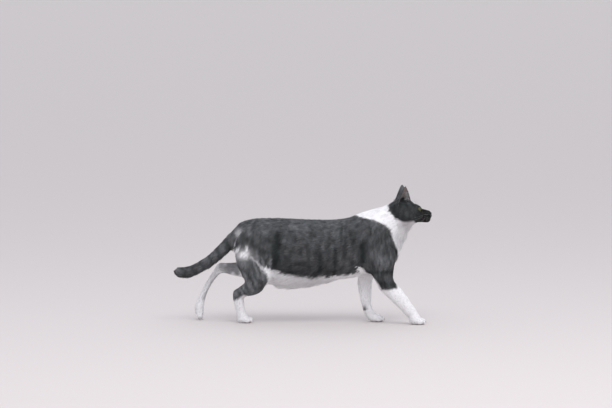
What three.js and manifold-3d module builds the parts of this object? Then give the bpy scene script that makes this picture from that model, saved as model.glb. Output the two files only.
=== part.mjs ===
// A life-size domestic cat in mid stride: still, with three paws flat and the left hind foot on its toe tips.
// Millimetres. +X is forward, towards the head, +Y is the cat's left and +Z is up; the floor is Z = 0.
//
// The body is one soft form. Every limb is a chain of oval rings; the chains and some rounded muscles melt
// into each other. A net is wrapped round that form and cut apart, with thin plane and oval cuts, into the
// named pieces. The solids reach out to the tips of the coat.

import * as THREE from "three";
import { mergeVertices } from "three/addons/utils/BufferGeometryUtils.js";
import Module from "manifold-3d";

const wasm = await Module();
wasm.setup();

const { degToRad, clamp, lerp } = THREE.MathUtils;
const vec = (x, y, z) => new THREE.Vector3(x, y, z);

// ---------------------------------------------------------------- driving dimensions

const GAP = 0.4; // between neighbouring pieces
const FAR = 1000; // further than any point of the cat
const SAME_POINT = 1e-4; // corners closer than this are one
const LEAST_SLOPE = 0.1; // keeps a knot of the net from being thrown far where a form is nearly level
const OVAL_SEGMENTS = 16;
const ROOM = { trunk: 20, neck: 14, tail: 12, upperLimb: 14, lowerLimb: 10 }; // of the net round the rings
const SIDES = { left: 1, right: -1 };

// Sizes of the meshes of the net along X, Y and Z: fine on the face and paws, coarse on the trunk.
const NET = {
  trunk: vec(25.5, 18.5, 17.5),
  neck: vec(15, 15, 15),
  upperLimb: vec(16, 14, 16),
  lowerLimb: vec(11, 10.3, 11),
  paw: vec(7.6, 7, 7),
  head: vec(7.4, 7.2, 7.2),
  tail: vec(13, 11, 11),
};

// A ring is [x, y, z, half depth in the plane of the bend, half width across it].
const TRUNK = [
  [-138, 0, 216, 34, 28],
  [-118, 0, 203, 60, 46],
  [-90, 0, 188, 78, 56],
  [-55, 0, 175, 89, 62],
  [-15, 0, 173, 89, 64],
  [30, 0, 177, 83, 62],
  [75, 0, 180, 80, 58],
  [115, 0, 184, 78, 54],
  [150, 0, 188, 75, 50],
  [182, 0, 187, 64, 44],
  [206, 0, 184, 44, 34],
];
const CHEST_FROM = 95; // the trunk is parted at these two stations
const RUMP_UP_TO = -50;

const NECK = [
  [165, 0, 205, 60, 46],
  [190, 0, 223, 66, 45],
  [215, 1, 243, 54, 41],
  [237, 2, 260, 43, 36],
  [254, 3, 272, 34, 32],
];
const NECK_BASE = { point: vec(206, 0, 234), towardsHead: vec(0.8, 0, 0.6) };
const HEAD_BASE = { point: vec(240, 0, 275), towardsHead: vec(0.85, 0, 0.53) };

const TAIL = [
  [-120, 0, 242, 20, 20],
  [-142, 0, 236, 18, 17],
  [-160, -1, 220, 16, 16],
  [-176, -2, 205, 15.5, 15.5],
  [-192, -4, 188, 15.5, 15.5],
  [-208, -6, 171, 15, 15],
  [-228, -9, 154, 14.5, 14.5],
  [-252, -12, 139, 14, 14],
  [-276, -13, 127, 14.5, 14],
  [-299, -12, 124, 14, 14],
  [-311, -11, 126, 12, 12],
];
const TAIL_BASE = { point: vec(-152, 0, 225), towardsTip: vec(-0.94, 0, 0.34) };
const TAIL_CUTS = [4.5, 6.4, 8.3]; // places along the rings

// Each limb's rings run from the top of the limb to the paw, and its pieces are parted at `cuts`, places
// along the rings. The first `onTrunk` rings lie on the trunk, and the oval, in side view, is where the
// limb's top piece is parted from it.
const SHOULDER_OVAL = { alongX: 50, alongZ: 83 };
const HIP_OVAL = { alongX: 56, alongZ: 83 };
const FORELEG_PIECES = ["upper", "forearm", "paw"];
const HINDLEG_PIECES = ["thigh", "shin", "foot", "paw"];

const LIMBS = {
  foreleg_right: {
    side: SIDES.right,
    pieces: FORELEG_PIECES,
    oval: { ...SHOULDER_OVAL, x: 197, z: 168 },
    onTrunk: 5,
    cuts: [4.9, 8.3],
    rings: [
      [165, -30, 228, 26, 16],
      [192, -36, 204, 35, 19],
      [204, -38, 176, 33, 20],
      [207, -38, 150, 29, 19],
      [205, -37, 124, 25, 18],
      [212, -36, 102, 22, 17],
      [231, -33, 82, 21, 16.5],
      [249, -30, 62, 20, 16],
      [264, -28, 44, 17, 14.5],
      [277, -26, 28, 14.5, 13.5],
      [283, -26, 19, 13, 13.5],
    ],
    paw: { x: 287, y: -26, z: 0, toesDown: 0 },
  },
  foreleg_left: {
    side: SIDES.left,
    pieces: FORELEG_PIECES,
    oval: { ...SHOULDER_OVAL, x: 172, z: 172 },
    onTrunk: 5,
    cuts: [5, 8.1],
    rings: [
      [150, 30, 228, 26, 16],
      [176, 36, 204, 33, 19],
      [186, 38, 180, 32, 20],
      [174, 38, 152, 28, 19],
      [158, 37, 127, 24, 18],
      [156, 36, 104, 20.5, 16.5],
      [157, 33, 79, 18.5, 15.5],
      [159, 31, 58, 15.5, 13.5],
      [162, 30, 37, 13, 12.5],
      [170, 30, 20, 12, 13],
    ],
    paw: { x: 181, y: 30, z: 0, toesDown: 0 },
  },
  hindleg_right: {
    side: SIDES.right,
    pieces: HINDLEG_PIECES,
    oval: { ...HIP_OVAL, x: -116, z: 162 },
    onTrunk: 4,
    cuts: [3.6, 5.8, 8],
    rings: [
      [-118, -30, 214, 36, 20],
      [-122, -36, 178, 37, 22],
      [-118, -40, 146, 35, 22],
      [-103, -41, 113, 30, 20],
      [-115, -39, 91, 22.5, 17.5],
      [-140, -35, 82, 16, 14.5],
      [-154, -31, 70, 14, 13],
      [-153, -29, 47, 14, 12.5],
      [-148, -27, 26, 13.5, 12.5],
    ],
    heel: { centre: [-163, -31, 74], radii: [7.5, 7.5, 10.5] },
    paw: { x: -144, y: -27, z: 0, toesDown: 0 },
  },
  hindleg_left: {
    side: SIDES.left,
    pieces: HINDLEG_PIECES,
    oval: { ...HIP_OVAL, x: -122, z: 170 },
    onTrunk: 4,
    cuts: [3, 6, 9],
    rings: [
      [-118, 30, 214, 36, 20],
      [-122, 36, 182, 37, 22],
      [-120, 41, 154, 34, 22],
      [-124, 42, 132, 27, 20],
      [-150, 41, 128, 22, 17.5],
      [-180, 39, 129, 17, 14.5],
      [-205, 37, 131, 12, 12],
      [-225, 36, 111, 9.5, 10.5],
      [-242, 35, 84, 9, 10.5],
      [-254, 35, 57, 9.5, 11.5],
      [-259, 35, 38, 10.5, 12],
    ],
    heel: { centre: [-210, 37, 138], radii: [7, 7, 10] },
    paw: { x: -271, y: 35, z: 21.2, toesDown: 72 },
  },
};

// Where the limbs' blocks meet the trunk: a slanting plane, further from the middle at the top.
const LIMB_INNER = { yAtTop: 32, top: 220, yAtBottom: 14.5, bottom: 110 };

// Widths of the bands over which forms melt into each other.
const MELT = { limbToTrunk: 16, alongLimb: 8, neckToTrunk: 24, tailToTrunk: 10, headToNeck: 14, toes: 3 };

// A paw in its own frame: origin on the floor under the middle of the foot, toes towards +X. The pad and
// toes dip a little below the floor, and are cut flat at it.
const PAW_PAD = { centre: [0, 0, 10.5], radii: [16.5, 14, 11.5] };
const TOES = [
  [12, 10.5, 8.2],
  [17.5, 3.8, 8.5],
  [17.5, -3.8, 8.5],
  [12, -10.5, 8.2],
];
const TOE_RADII = [8.7, 5.2, 9.2];
const PAW_REACH = 34; // no part of a paw is further than this from its middle

// The head in its own frame: origin in the middle of the skull, +X along the muzzle.
const HEAD_CENTRE = vec(264, 3, 277);
const HEAD_TURN = degToRad(10); // to the cat's left
const HEAD_RAISE = degToRad(1); // muzzle up
const SKULL = [
  { ball: [-10, 0, 2], radii: [34, 34, 30], band: 1 },
  { ball: [-4, 0, 9], radii: [20, 24, 23], band: 10 },
  { rings: [[17, 0, -1, 14.5, 17], [34, 0, -3.5, 12.5, 13], [53, 0, -6, 9.5, 10.5]], band: 8 },
  { rings: [[4, 0, -12, 15, 22], [28, 0, -15, 11, 16], [48, 0, -17.5, 8, 11]], band: 9 },
];
const FACE_PAIRS = [
  { ball: [-1, 25, -10], radii: [24, 18, 17], band: 12 }, // cheek and jaw muscle
  { ball: [13, 15, 13], radii: [11, 9.5, 8], band: 7 }, // brow
  { ball: [25, 18.5, -6], radii: [14, 11, 10], band: 9 }, // cheekbone under the eye
  { ball: [46.5, 9.3, -9.5], radii: [13, 11.7, 10.5], band: 5 }, // whisker pad
  { ball: [-13, 22, 17], radii: [20, 13, 14], band: 10 }, // root of the ear
];
const EYE = { centre: [22.5, 18, 7], radius: 10, dent: 9, dentOut: 6.5, net: [10, 7] };
const NOSE = { centre: [58, 0, -3], radii: [4.8, 6.6, 5], net: [8, 6] };
const EAR = {
  root: vec(-10, 20.5, 12),
  tip: vec(-7.5, 34, 68),
  openingTurn: degToRad(54), // the ear's mouth faces this far outwards from straight ahead
  halfWidth: 27,
  cup: 14,
  thickness: 3,
  thinnerRim: 0.7, // the share of the thickness lost at the rim
  taper: 0.75, // 1 is straight-sided, less is rounder
  rows: 7,
  columns: 4,
};

const COLOURS = { grey: 0x4c4d4f, white: 0xe9e6e8, leather: 0x3a3234, eye: 0x8d8f4a };

// ---------------------------------------------------------------- soft forms

// A form takes a point and gives its distance from the surface in millimetres, negative inside.

// Melts two distances into each other over a band of the given width.
function melt(a, b, band) {
  const near = Math.max(band - Math.abs(a - b), 0) / band;
  return Math.min(a, b) - (near * near * band) / 4;
}

const meltAll = (parts) => (p) => parts.reduce((d, { form, band }) => melt(d, form(p), band), FAR);
const part = (form, band = 1) => ({ form, band });

function ballForm([cx, cy, cz], [rx, ry, rz]) {
  const least = Math.min(rx, ry, rz);
  return ({ x, y, z }) => (Math.hypot((x - cx) / rx, (y - cy) / ry, (z - cz) / rz) - 1) * least;
}

const pathThrough = (rings) => new THREE.CatmullRomCurve3(rings.map(([x, y, z]) => vec(x, y, z)));

// A chain of oval rings joined smoothly, with rounded ends.
function chainForm(rings, stepsPerRing = 3) {
  const steps = (rings.length - 1) * stepsPerRing;
  const path = pathThrough(rings);
  const sizes = new THREE.CatmullRomCurve3(rings.map(([, , , depth, width]) => vec(depth, width, 0)));
  const centres = Array.from({ length: steps + 1 }, (_, i) => path.getPoint(i / steps));
  const radii = Array.from({ length: steps + 1 }, (_, i) => sizes.getPoint(i / steps));
  const spans = centres.slice(1).map((end, i) => {
    const run = end.clone().sub(centres[i]);
    const tangent = run.clone().normalize();
    const across = vec(0, 1, 0).addScaledVector(tangent, -tangent.y).normalize();
    const normal = tangent.clone().cross(across);
    return { start: centres[i], run, tangent, across, normal, from: radii[i], to: radii[i + 1] };
  });
  const offset = vec(0, 0, 0);
  return (p) => {
    let nearest = FAR;
    for (const { start, run, tangent, across, normal, from, to } of spans) {
      offset.copy(p).sub(start);
      const t = clamp(offset.dot(run) / run.lengthSq(), 0, 1);
      offset.addScaledVector(run, -t);
      const depth = lerp(from.x, to.x, t);
      const width = lerp(from.y, to.y, t);
      const least = Math.min(depth, width);
      const ratios = [offset.dot(normal) / depth, offset.dot(across) / width, offset.dot(tangent) / least];
      nearest = Math.min(nearest, (Math.hypot(...ratios) - 1) * least);
    }
    return nearest;
  };
}

// Gives a form drawn in its own frame its place in the world.
function placed(form, frame) {
  const inverse = frame.clone().invert();
  const local = vec(0, 0, 0);
  return (p) => form(local.copy(p).applyMatrix4(inverse));
}

// ---------------------------------------------------------------- solids

function solidOf(geometry) {
  const bare = new THREE.BufferGeometry();
  bare.setAttribute("position", geometry.getAttribute("position"));
  bare.setIndex(geometry.index);
  const merged = mergeVertices(bare, SAME_POINT);
  return new wasm.Manifold(
    new wasm.Mesh({
      numProp: 3,
      vertProperties: new Float32Array(merged.attributes.position.array),
      triVerts: new Uint32Array(merged.index.array),
    }),
  );
}

function geometryOf(solid) {
  const { vertProperties, triVerts } = solid.getMesh();
  const geometry = new THREE.BufferGeometry();
  geometry.setAttribute("position", new THREE.BufferAttribute(vertProperties, 3));
  geometry.setIndex(new THREE.BufferAttribute(triVerts, 1));
  return geometry;
}

// Moves a point along a form's slope onto its surface, by no more than `reach`.
function settle(point, form, reach) {
  const start = point.clone();
  const probe = 0.5;
  for (let round = 0; round < 2; round++) {
    const value = form(point);
    const slopeAlong = (axis) => form(point.clone().add(axis)) - value;
    const slope = vec(
      slopeAlong(vec(probe, 0, 0)),
      slopeAlong(vec(0, probe, 0)),
      slopeAlong(vec(0, 0, probe)),
    ).divideScalar(probe);
    point.addScaledVector(slope, -value / Math.max(slope.lengthSq(), LEAST_SLOPE));
  }
  point.sub(start).clampLength(0, reach).add(start);
}

const CORNERS = [0, 1, 2, 3, 4, 5, 6, 7].map((n) => [n >> 2, (n >> 1) & 1, n & 1]);
const CORNER_PAIRS = CORNERS.flatMap((a, i) =>
  CORNERS.slice(i + 1).map((b, k) => {
    const steps = a.filter((n, axis) => n !== b[axis]).length;
    return { i, j: i + 1 + k, steps };
  }),
);

// Groups the eight corners of a cell: neighbours on the same side of the surface go together, and so do
// outside corners across a face.
function cornerGroups(inside) {
  const group = [0, 1, 2, 3, 4, 5, 6, 7];
  for (const { i, j, steps } of CORNER_PAIRS) {
    const joined = inside[i] === inside[j] && (steps === 1 || (steps === 2 && !inside[i]));
    if (!joined || group[i] === group[j]) continue;
    const [kept, merged] = [group[i], group[j]];
    group.forEach((g, corner) => {
      if (g === merged) group[corner] = kept;
    });
  }
  return group;
}

// Wraps a closed net round a form. Space from `low` to `high` is cut into cells. Each sheet of the surface
// in a cell gets one knot, and four knots make a mesh round every cell edge that the surface crosses.
function netRound(form, low, high, cellSize) {
  const counts = ["x", "y", "z"].map((axis) => Math.ceil((high[axis] - low[axis]) / cellSize[axis]) + 1);
  const [nx, ny, nz] = counts;
  const index = (i, j, k) => (i * ny + j) * nz + k;
  const place = (i, j, k) => vec(i, j, k).multiply(cellSize).add(low);
  const onRim = (...cell) => cell.some((n, axis) => n === 0 || n === counts[axis] - 1);
  const values = new Float32Array(nx * ny * nz);
  const eachPlace = (visit) => {
    for (let i = 0; i < nx; i++) for (let j = 0; j < ny; j++) for (let k = 0; k < nz; k++) visit(i, j, k);
  };
  eachPlace((i, j, k) => {
    values[index(i, j, k)] = onRim(i, j, k) ? cellSize.x : form(place(i, j, k));
  });

  const positions = [];
  const knots = new Map();
  const edgeKey = (cell, from, to) => `${cell}:${Math.min(from, to)}:${Math.max(from, to)}`;
  const addKnots = (i, j, k) => {
    const corners = CORNERS.map(([di, dj, dk]) => [i + di, j + dj, k + dk]);
    const ids = corners.map((corner) => index(...corner));
    const inside = ids.map((id) => values[id] < 0);
    if (inside.every((value) => value === inside[0])) return;
    const group = cornerGroups(inside);
    const sheets = new Map();
    for (const { i: a, j: b, steps } of CORNER_PAIRS) {
      if (steps !== 1 || inside[a] === inside[b]) continue;
      const sheet = inside[a] ? `${group[a]},${group[b]}` : `${group[b]},${group[a]}`;
      if (!sheets.has(sheet)) sheets.set(sheet, { points: [], edges: [] });
      const share = values[ids[a]] / (values[ids[a]] - values[ids[b]]);
      sheets.get(sheet).points.push(place(...corners[a]).lerp(place(...corners[b]), share));
      sheets.get(sheet).edges.push(edgeKey(index(i, j, k), ids[a], ids[b]));
    }
    for (const { points, edges } of sheets.values()) {
      const knot = points.reduce((sum, point) => sum.add(point), vec(0, 0, 0)).divideScalar(points.length);
      settle(knot, form, cellSize.x / 2);
      edges.forEach((edge) => knots.set(edge, positions.length / 3));
      positions.push(knot.x, knot.y, knot.z);
    }
  };
  eachPlace((i, j, k) => {
    if (i < nx - 1 && j < ny - 1 && k < nz - 1) addKnots(i, j, k);
  });

  const triangles = [];
  const knotAt = (n) => vec(...positions.slice(3 * n, 3 * n + 3));
  const span = (a, b) => knotAt(a).distanceTo(knotAt(b));
  const addMesh = (here, there, cells) => {
    const inside = values[here] < 0;
    if (inside === values[there] < 0) return;
    const outwards = inside ? cells : cells.reverse();
    const [a, b, c, d] = outwards.map((cell) => knots.get(edgeKey(cell, here, there)));
    if (span(a, c) < span(b, d)) triangles.push(a, b, c, a, c, d);
    else triangles.push(b, c, d, b, d, a);
  };
  eachPlace((i, j, k) => {
    const cell = (di, dj, dk) => index(i - di, j - dj, k - dk);
    const here = cell(0, 0, 0);
    addMesh(here, index(i + 1, j, k), [cell(0, 1, 1), cell(0, 0, 1), here, cell(0, 1, 0)]);
    addMesh(here, index(i, j + 1, k), [cell(1, 0, 1), cell(1, 0, 0), here, cell(0, 0, 1)]);
    addMesh(here, index(i, j, k + 1), [cell(1, 1, 0), cell(0, 1, 0), here, cell(1, 0, 0)]);
  });
  const geometry = new THREE.BufferGeometry();
  geometry.setAttribute("position", new THREE.Float32BufferAttribute(positions, 3));
  geometry.setIndex(triangles);
  return solidOf(geometry);
}

// The box round a list of rings, or of some of them, with room for their radii.
function boxRound(rings, room) {
  const box = new THREE.Box3();
  for (const [x, y, z, depth, width] of rings) {
    const reach = Math.max(depth, width) + room;
    box.expandByPoint(vec(x - reach, y - width - room, z - reach));
    box.expandByPoint(vec(x + reach, y + width + room, z + reach));
  }
  return box;
}

// Everything on the side of a plane that `direction` points to, clear of the plane by half a gap.
function beyond(point, direction, clearance = GAP / 2) {
  const block = new THREE.BoxGeometry(2 * FAR, 2 * FAR, 2 * FAR).translate(0, 0, FAR + clearance);
  const turn = new THREE.Quaternion().setFromUnitVectors(vec(0, 0, 1), direction.clone().normalize());
  return solidOf(block.applyQuaternion(turn).translate(point.x, point.y, point.z));
}
const before = (point, direction) => beyond(point, direction.clone().negate());

// The two sides of a cut across a chain, at a place along its rings.
function cutAcross(rings, placeAlong) {
  const path = pathThrough(rings);
  const t = placeAlong / (rings.length - 1);
  const [point, direction] = [path.getPoint(t), path.getTangent(t)];
  return { near: before(point, direction), far: beyond(point, direction) };
}

// A solid parted by cuts into a row of pieces.
function partedBy(solid, cuts) {
  const pieces = [];
  let rest = solid;
  for (const { near, far } of cuts) {
    pieces.push(rest.intersect(near));
    rest = rest.intersect(far);
  }
  return [...pieces, rest];
}

// Everything outside the slanting plane between a limb and the trunk.
function outside(side, grow) {
  const { yAtTop, top, yAtBottom, bottom } = LIMB_INNER;
  const outwards = vec(0, side * (top - bottom), yAtBottom - yAtTop);
  return beyond(vec(0, side * (yAtBottom - grow), bottom), outwards, 0);
}

// The space that a limb takes beside the trunk: an oval in side view, outside the slanting plane.
function limbSpace({ side, oval }, grow) {
  const outline = new THREE.Shape();
  outline.absellipse(0, 0, oval.alongX + grow, oval.alongZ + grow, 0, 2 * Math.PI);
  const settings = { depth: FAR, bevelEnabled: false, curveSegments: OVAL_SEGMENTS };
  const block = new THREE.ExtrudeGeometry(outline, settings);
  block.rotateX(Math.PI / 2).translate(oval.x, side > 0 ? FAR : 0, oval.z);
  return solidOf(mergeOf(block)).intersect(outside(side, grow));
}

function mergeOf(geometry) {
  geometry.deleteAttribute("normal");
  geometry.deleteAttribute("uv");
  return mergeVertices(geometry, SAME_POINT);
}

function ballSolid(centre, radii, [segments, rings]) {
  const ball = new THREE.SphereGeometry(1, segments, rings).rotateX(Math.PI / 2);
  return mergeOf(ball.scale(...radii).translate(...centre));
}

// ---------------------------------------------------------------- forms of the cat

const pawForm = meltAll([
  part(ballForm(PAW_PAD.centre, PAW_PAD.radii)),
  ...TOES.map((toe) => part(ballForm(toe, TOE_RADII), MELT.toes)),
]);

function pawFrame({ x, y, z, toesDown }) {
  return new THREE.Matrix4().makeRotationY(degToRad(toesDown)).setPosition(x, y, z);
}

function limbForms({ onTrunk, rings, heel, paw }) {
  const upper = chainForm(rings.slice(0, onTrunk));
  const lower = [
    part(chainForm(rings.slice(onTrunk - 1))),
    part(placed(pawForm, pawFrame(paw)), MELT.alongLimb),
  ];
  if (heel) lower.push(part(ballForm(heel.centre, heel.radii), MELT.alongLimb));
  return { upper, whole: meltAll([part(upper), part(meltAll(lower), MELT.alongLimb)]) };
}

const forms = Object.fromEntries(Object.entries(LIMBS).map(([name, limb]) => [name, limbForms(limb)]));

const headFrame = new THREE.Matrix4()
  .makeRotationFromEuler(new THREE.Euler(0, -HEAD_RAISE, HEAD_TURN, "ZYX"))
  .setPosition(HEAD_CENTRE);

const onSide = ([x, y, z], side) => [x, side * y, z];

function headForm() {
  const middle = SKULL.map(({ ball, radii, rings, band }) =>
    part(ball ? ballForm(ball, radii) : chainForm(rings), band),
  );
  const pairs = FACE_PAIRS.flatMap(({ ball, radii, band }) =>
    Object.values(SIDES).map((side) => part(ballForm(onSide(ball, side), radii), band)),
  );
  const full = meltAll([...middle, ...pairs]);
  const dents = Object.values(SIDES).map((side) => {
    const [x, y, z] = onSide(EYE.centre, side);
    return ballForm([x + EYE.dentOut, y + side * EYE.dentOut, z], [EYE.dent, EYE.dent, EYE.dent]);
  });
  return (p) => dents.reduce((d, dent) => -melt(-d, dent(p), MELT.toes), full(p));
}

const head = placed(headForm(), headFrame);
const neck = chainForm(NECK);
const torso = meltAll([
  part(chainForm(TRUNK)),
  part(neck, MELT.neckToTrunk),
  part(chainForm(TAIL), MELT.tailToTrunk),
]);
const headAndTorso = meltAll([part(torso), part(head, MELT.headToNeck)]);
const torsoWithLimbs = meltAll([
  part(torso),
  ...Object.values(forms).map(({ upper }) => part(upper, MELT.limbToTrunk)),
]);

// ---------------------------------------------------------------- pieces of the cat

const cat = new THREE.Group();

function add(name, geometry, colour, roughness = 0.9) {
  const material = new THREE.MeshStandardMaterial({ color: colour, roughness, metalness: 0 });
  geometry.computeVertexNormals();
  const mesh = new THREE.Mesh(geometry, material);
  mesh.name = name;
  cat.add(mesh);
}
const addSolid = (name, solid, colour) => add(name, geometryOf(solid), colour);

function betweenNeckAndTail(solid) {
  return solid
    .intersect(before(NECK_BASE.point, NECK_BASE.towardsHead))
    .intersect(before(TAIL_BASE.point, TAIL_BASE.towardsTip));
}

function addTrunk() {
  const box = boxRound(TRUNK, ROOM.trunk);
  const whole = betweenNeckAndTail(netRound(torsoWithLimbs, box.min, box.max, NET.trunk));
  const bare = Object.values(LIMBS).reduce((solid, limb) => solid.subtract(limbSpace(limb, GAP)), whole);
  const stations = [RUMP_UP_TO, CHEST_FROM].map((x) => ({
    near: before(vec(x, 0, 0), vec(1, 0, 0)),
    far: beyond(vec(x, 0, 0), vec(1, 0, 0)),
  }));
  const pieces = partedBy(bare, stations);
  ["rump", "belly", "chest"].forEach((name, i) => addSolid(name, pieces[i], COLOURS.grey));
}

function addNeck() {
  const box = boxRound(NECK, ROOM.neck);
  const solid = netRound(headAndTorso, box.min, box.max, NET.neck)
    .intersect(beyond(NECK_BASE.point, NECK_BASE.towardsHead))
    .intersect(before(HEAD_BASE.point, HEAD_BASE.towardsHead));
  addSolid("neck", solid, COLOURS.white);
}

function addTail() {
  const box = boxRound(TAIL, ROOM.tail);
  const behindRump = beyond(TAIL_BASE.point, TAIL_BASE.towardsTip);
  const whole = netRound(torso, box.min, box.max, NET.tail).intersect(behindRump);
  const cuts = TAIL_CUTS.map((place) => cutAcross(TAIL, place));
  partedBy(whole, cuts).forEach((piece, i) => addSolid(`tail_${i + 1}`, piece, COLOURS.grey));
}

// The upper piece of a limb lies on the trunk, the rest of it is free, and the paw is cut flat at the floor.
function addLimb(name, limb) {
  const { rings, onTrunk, cuts, pieces, paw } = limb;
  const limbCuts = cuts.map((place) => cutAcross(rings, place));
  const { whole } = forms[name];

  const topRings = boxRound(rings.slice(0, onTrunk + 1), ROOM.upperLimb);
  const onTorso = meltAll([part(torsoWithLimbs), part(whole, MELT.alongLimb)]);
  const top = netRound(onTorso, topRings.min, topRings.max, NET.upperLimb)
    .intersect(limbSpace(limb, 0))
    .intersect(limbCuts[0].near);
  addSolid(`${name}_${pieces[0]}`, betweenNeckAndTail(top), COLOURS.grey);

  const freeRings = boxRound(rings.slice(onTrunk - 1), ROOM.lowerLimb);
  const free = netRound(whole, freeRings.min, freeRings.max, NET.lowerLimb)
    .intersect(limbCuts[0].far)
    .intersect(outside(limb.side, 0));
  const lengths = partedBy(free, limbCuts.slice(1));
  pieces.slice(1, -1).forEach((piece, i) => {
    const colour = piece === "shin" ? COLOURS.grey : COLOURS.white;
    addSolid(`${name}_${piece}`, lengths[i], colour);
  });

  const low = vec(paw.x - PAW_REACH, paw.y - PAW_REACH, -NET.paw.z * 1.5);
  const high = vec(paw.x + PAW_REACH, paw.y + PAW_REACH, paw.z + 2 * PAW_REACH);
  const aboveFloor = beyond(vec(0, 0, 0), vec(0, 0, 1), 0);
  const foot = netRound(whole, low, high, NET.paw).intersect(limbCuts.at(-1).far).intersect(aboveFloor);
  addSolid(`${name}_paw`, foot, COLOURS.white);
}

function eyeSolid(side, grow) {
  const radius = EYE.radius + grow;
  return ballSolid(onSide(EYE.centre, side), [radius, radius, radius], EYE.net).applyMatrix4(headFrame);
}

function noseSolid(grow) {
  return ballSolid(NOSE.centre, NOSE.radii.map((radius) => radius + grow), NOSE.net).applyMatrix4(headFrame);
}

// An ear: a pointed leaf, cupped backwards, drawn as a back sheet and a front sheet joined at the rim.
function earGeometry(side) {
  const [root, tip] = [EAR.root, EAR.tip].map((point) => vec(...onSide(point.toArray(), side)));
  const rise = tip.clone().sub(root);
  const facing = vec(Math.cos(EAR.openingTurn), side * Math.sin(EAR.openingTurn), 0);
  facing.addScaledVector(rise, -facing.dot(rise) / rise.lengthSq()).normalize();
  const across = rise.clone().normalize().cross(facing);
  const sheetPoint = (u, v, sheet) => {
    const narrowing = (1 - v) ** EAR.taper;
    const width = EAR.halfWidth * narrowing * u;
    const half = (EAR.thickness / 2) * (1 - u * u * EAR.thinnerRim);
    const depth = sheet * half - EAR.cup * (1 - u * u) * narrowing;
    const along = root.clone().addScaledVector(rise, v);
    return along.addScaledVector(across, width).addScaledVector(facing, depth);
  };
  const { rows, columns } = EAR;
  const positions = [];
  const triangles = [];
  const sheets = [-1, 1].map((sheet) => {
    const start = positions.length / 3;
    for (let row = 0; row < rows; row++)
      for (let column = 0; column <= columns; column++)
        positions.push(...sheetPoint((2 * column) / columns - 1, row / rows, sheet).toArray());
    return (row, column) => start + row * (columns + 1) + column;
  });
  const quad = (a, b, c, d) => triangles.push(a, b, c, a, c, d);
  const [back, front] = sheets;
  for (let row = 0; row < rows - 1; row++) {
    for (let column = 0; column < columns; column++) {
      quad(back(row, column), back(row + 1, column), back(row + 1, column + 1), back(row, column + 1));
      quad(front(row, column), front(row, column + 1), front(row + 1, column + 1), front(row + 1, column));
    }
    quad(back(row, 0), front(row, 0), front(row + 1, 0), back(row + 1, 0));
    quad(back(row, columns), back(row + 1, columns), front(row + 1, columns), front(row, columns));
  }
  const last = rows - 1;
  const tipKnot = positions.length / 3;
  positions.push(...tip.toArray());
  for (let column = 0; column < columns; column++) {
    quad(back(0, column), back(0, column + 1), front(0, column + 1), front(0, column));
    triangles.push(back(last, column), tipKnot, back(last, column + 1));
    triangles.push(front(last, column + 1), tipKnot, front(last, column));
  }
  triangles.push(front(last, 0), tipKnot, back(last, 0), back(last, columns), tipKnot, front(last, columns));
  const geometry = new THREE.BufferGeometry();
  geometry.setAttribute("position", new THREE.Float32BufferAttribute(positions, 3));
  geometry.setIndex(triangles);
  return geometry.applyMatrix4(headFrame);
}

function addHead() {
  const reach = vec(80, 60, 60);
  const low = HEAD_CENTRE.clone().sub(reach);
  const high = HEAD_CENTRE.clone().add(reach);
  const inFront = beyond(HEAD_BASE.point, HEAD_BASE.towardsHead);
  const full = netRound(headAndTorso, low, high, NET.head);
  const grown = netRound((p) => headAndTorso(p) - 2 * GAP, low, high, NET.head);
  const eyeHoles = Object.values(SIDES).map((side) => solidOf(eyeSolid(side, GAP)));
  const solid = [...eyeHoles, solidOf(noseSolid(GAP))].reduce((rest, hole) => rest.subtract(hole), full);
  addSolid("head", solid.intersect(inFront), COLOURS.grey);
  add("nose", noseSolid(0), COLOURS.leather, 0.5);
  for (const [name, side] of Object.entries(SIDES)) {
    add(`eye_${name}`, eyeSolid(side, 0), COLOURS.eye, 0.1);
    addSolid(`ear_${name}`, solidOf(earGeometry(side)).subtract(grown), COLOURS.grey);
  }
}

addTrunk();
addNeck();
addTail();
for (const [name, limb] of Object.entries(LIMBS)) addLimb(name, limb);
addHead();

// The origin goes to the floor under the middle of the cat.
const bounds = new THREE.Box3().setFromObject(cat);
const middle = bounds.getCenter(vec(0, 0, 0));
cat.position.set(-middle.x, -middle.y, 0);

export default cat;
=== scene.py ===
"""The looks of the walking cat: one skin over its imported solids, a coat of tufts, eyes, nose and whiskers.

Lengths are in millimetres in the tables and while shaping, and in metres in Blender. The frame is the part's
own: +X towards the head, +Y the cat's left, +Z up. The head frame has its origin in the middle of the skull
and +X along the muzzle. Colours are linear.
"""

import math

import bmesh
import bpy
import numpy as np
from mathutils import Matrix, Vector
from mathutils.bvhtree import BVHTree


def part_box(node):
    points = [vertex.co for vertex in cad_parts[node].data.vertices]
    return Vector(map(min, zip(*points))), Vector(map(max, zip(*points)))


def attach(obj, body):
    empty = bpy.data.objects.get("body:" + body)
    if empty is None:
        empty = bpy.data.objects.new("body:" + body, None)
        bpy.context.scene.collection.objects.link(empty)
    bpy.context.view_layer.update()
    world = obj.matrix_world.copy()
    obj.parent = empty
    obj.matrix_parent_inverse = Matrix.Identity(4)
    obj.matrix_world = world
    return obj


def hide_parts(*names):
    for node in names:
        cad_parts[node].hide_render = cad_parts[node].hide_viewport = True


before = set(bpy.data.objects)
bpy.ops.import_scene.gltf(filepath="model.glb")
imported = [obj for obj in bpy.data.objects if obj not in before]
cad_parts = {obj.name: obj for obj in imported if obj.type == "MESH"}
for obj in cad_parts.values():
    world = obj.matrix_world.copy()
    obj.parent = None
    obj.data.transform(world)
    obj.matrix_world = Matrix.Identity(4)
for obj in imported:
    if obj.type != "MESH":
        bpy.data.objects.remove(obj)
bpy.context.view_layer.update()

MM = 0.001
SIDES = {"left": 1, "right": -1}
rng = np.random.default_rng(7)

# ---------------------------------------------------------------- driving numbers

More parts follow.
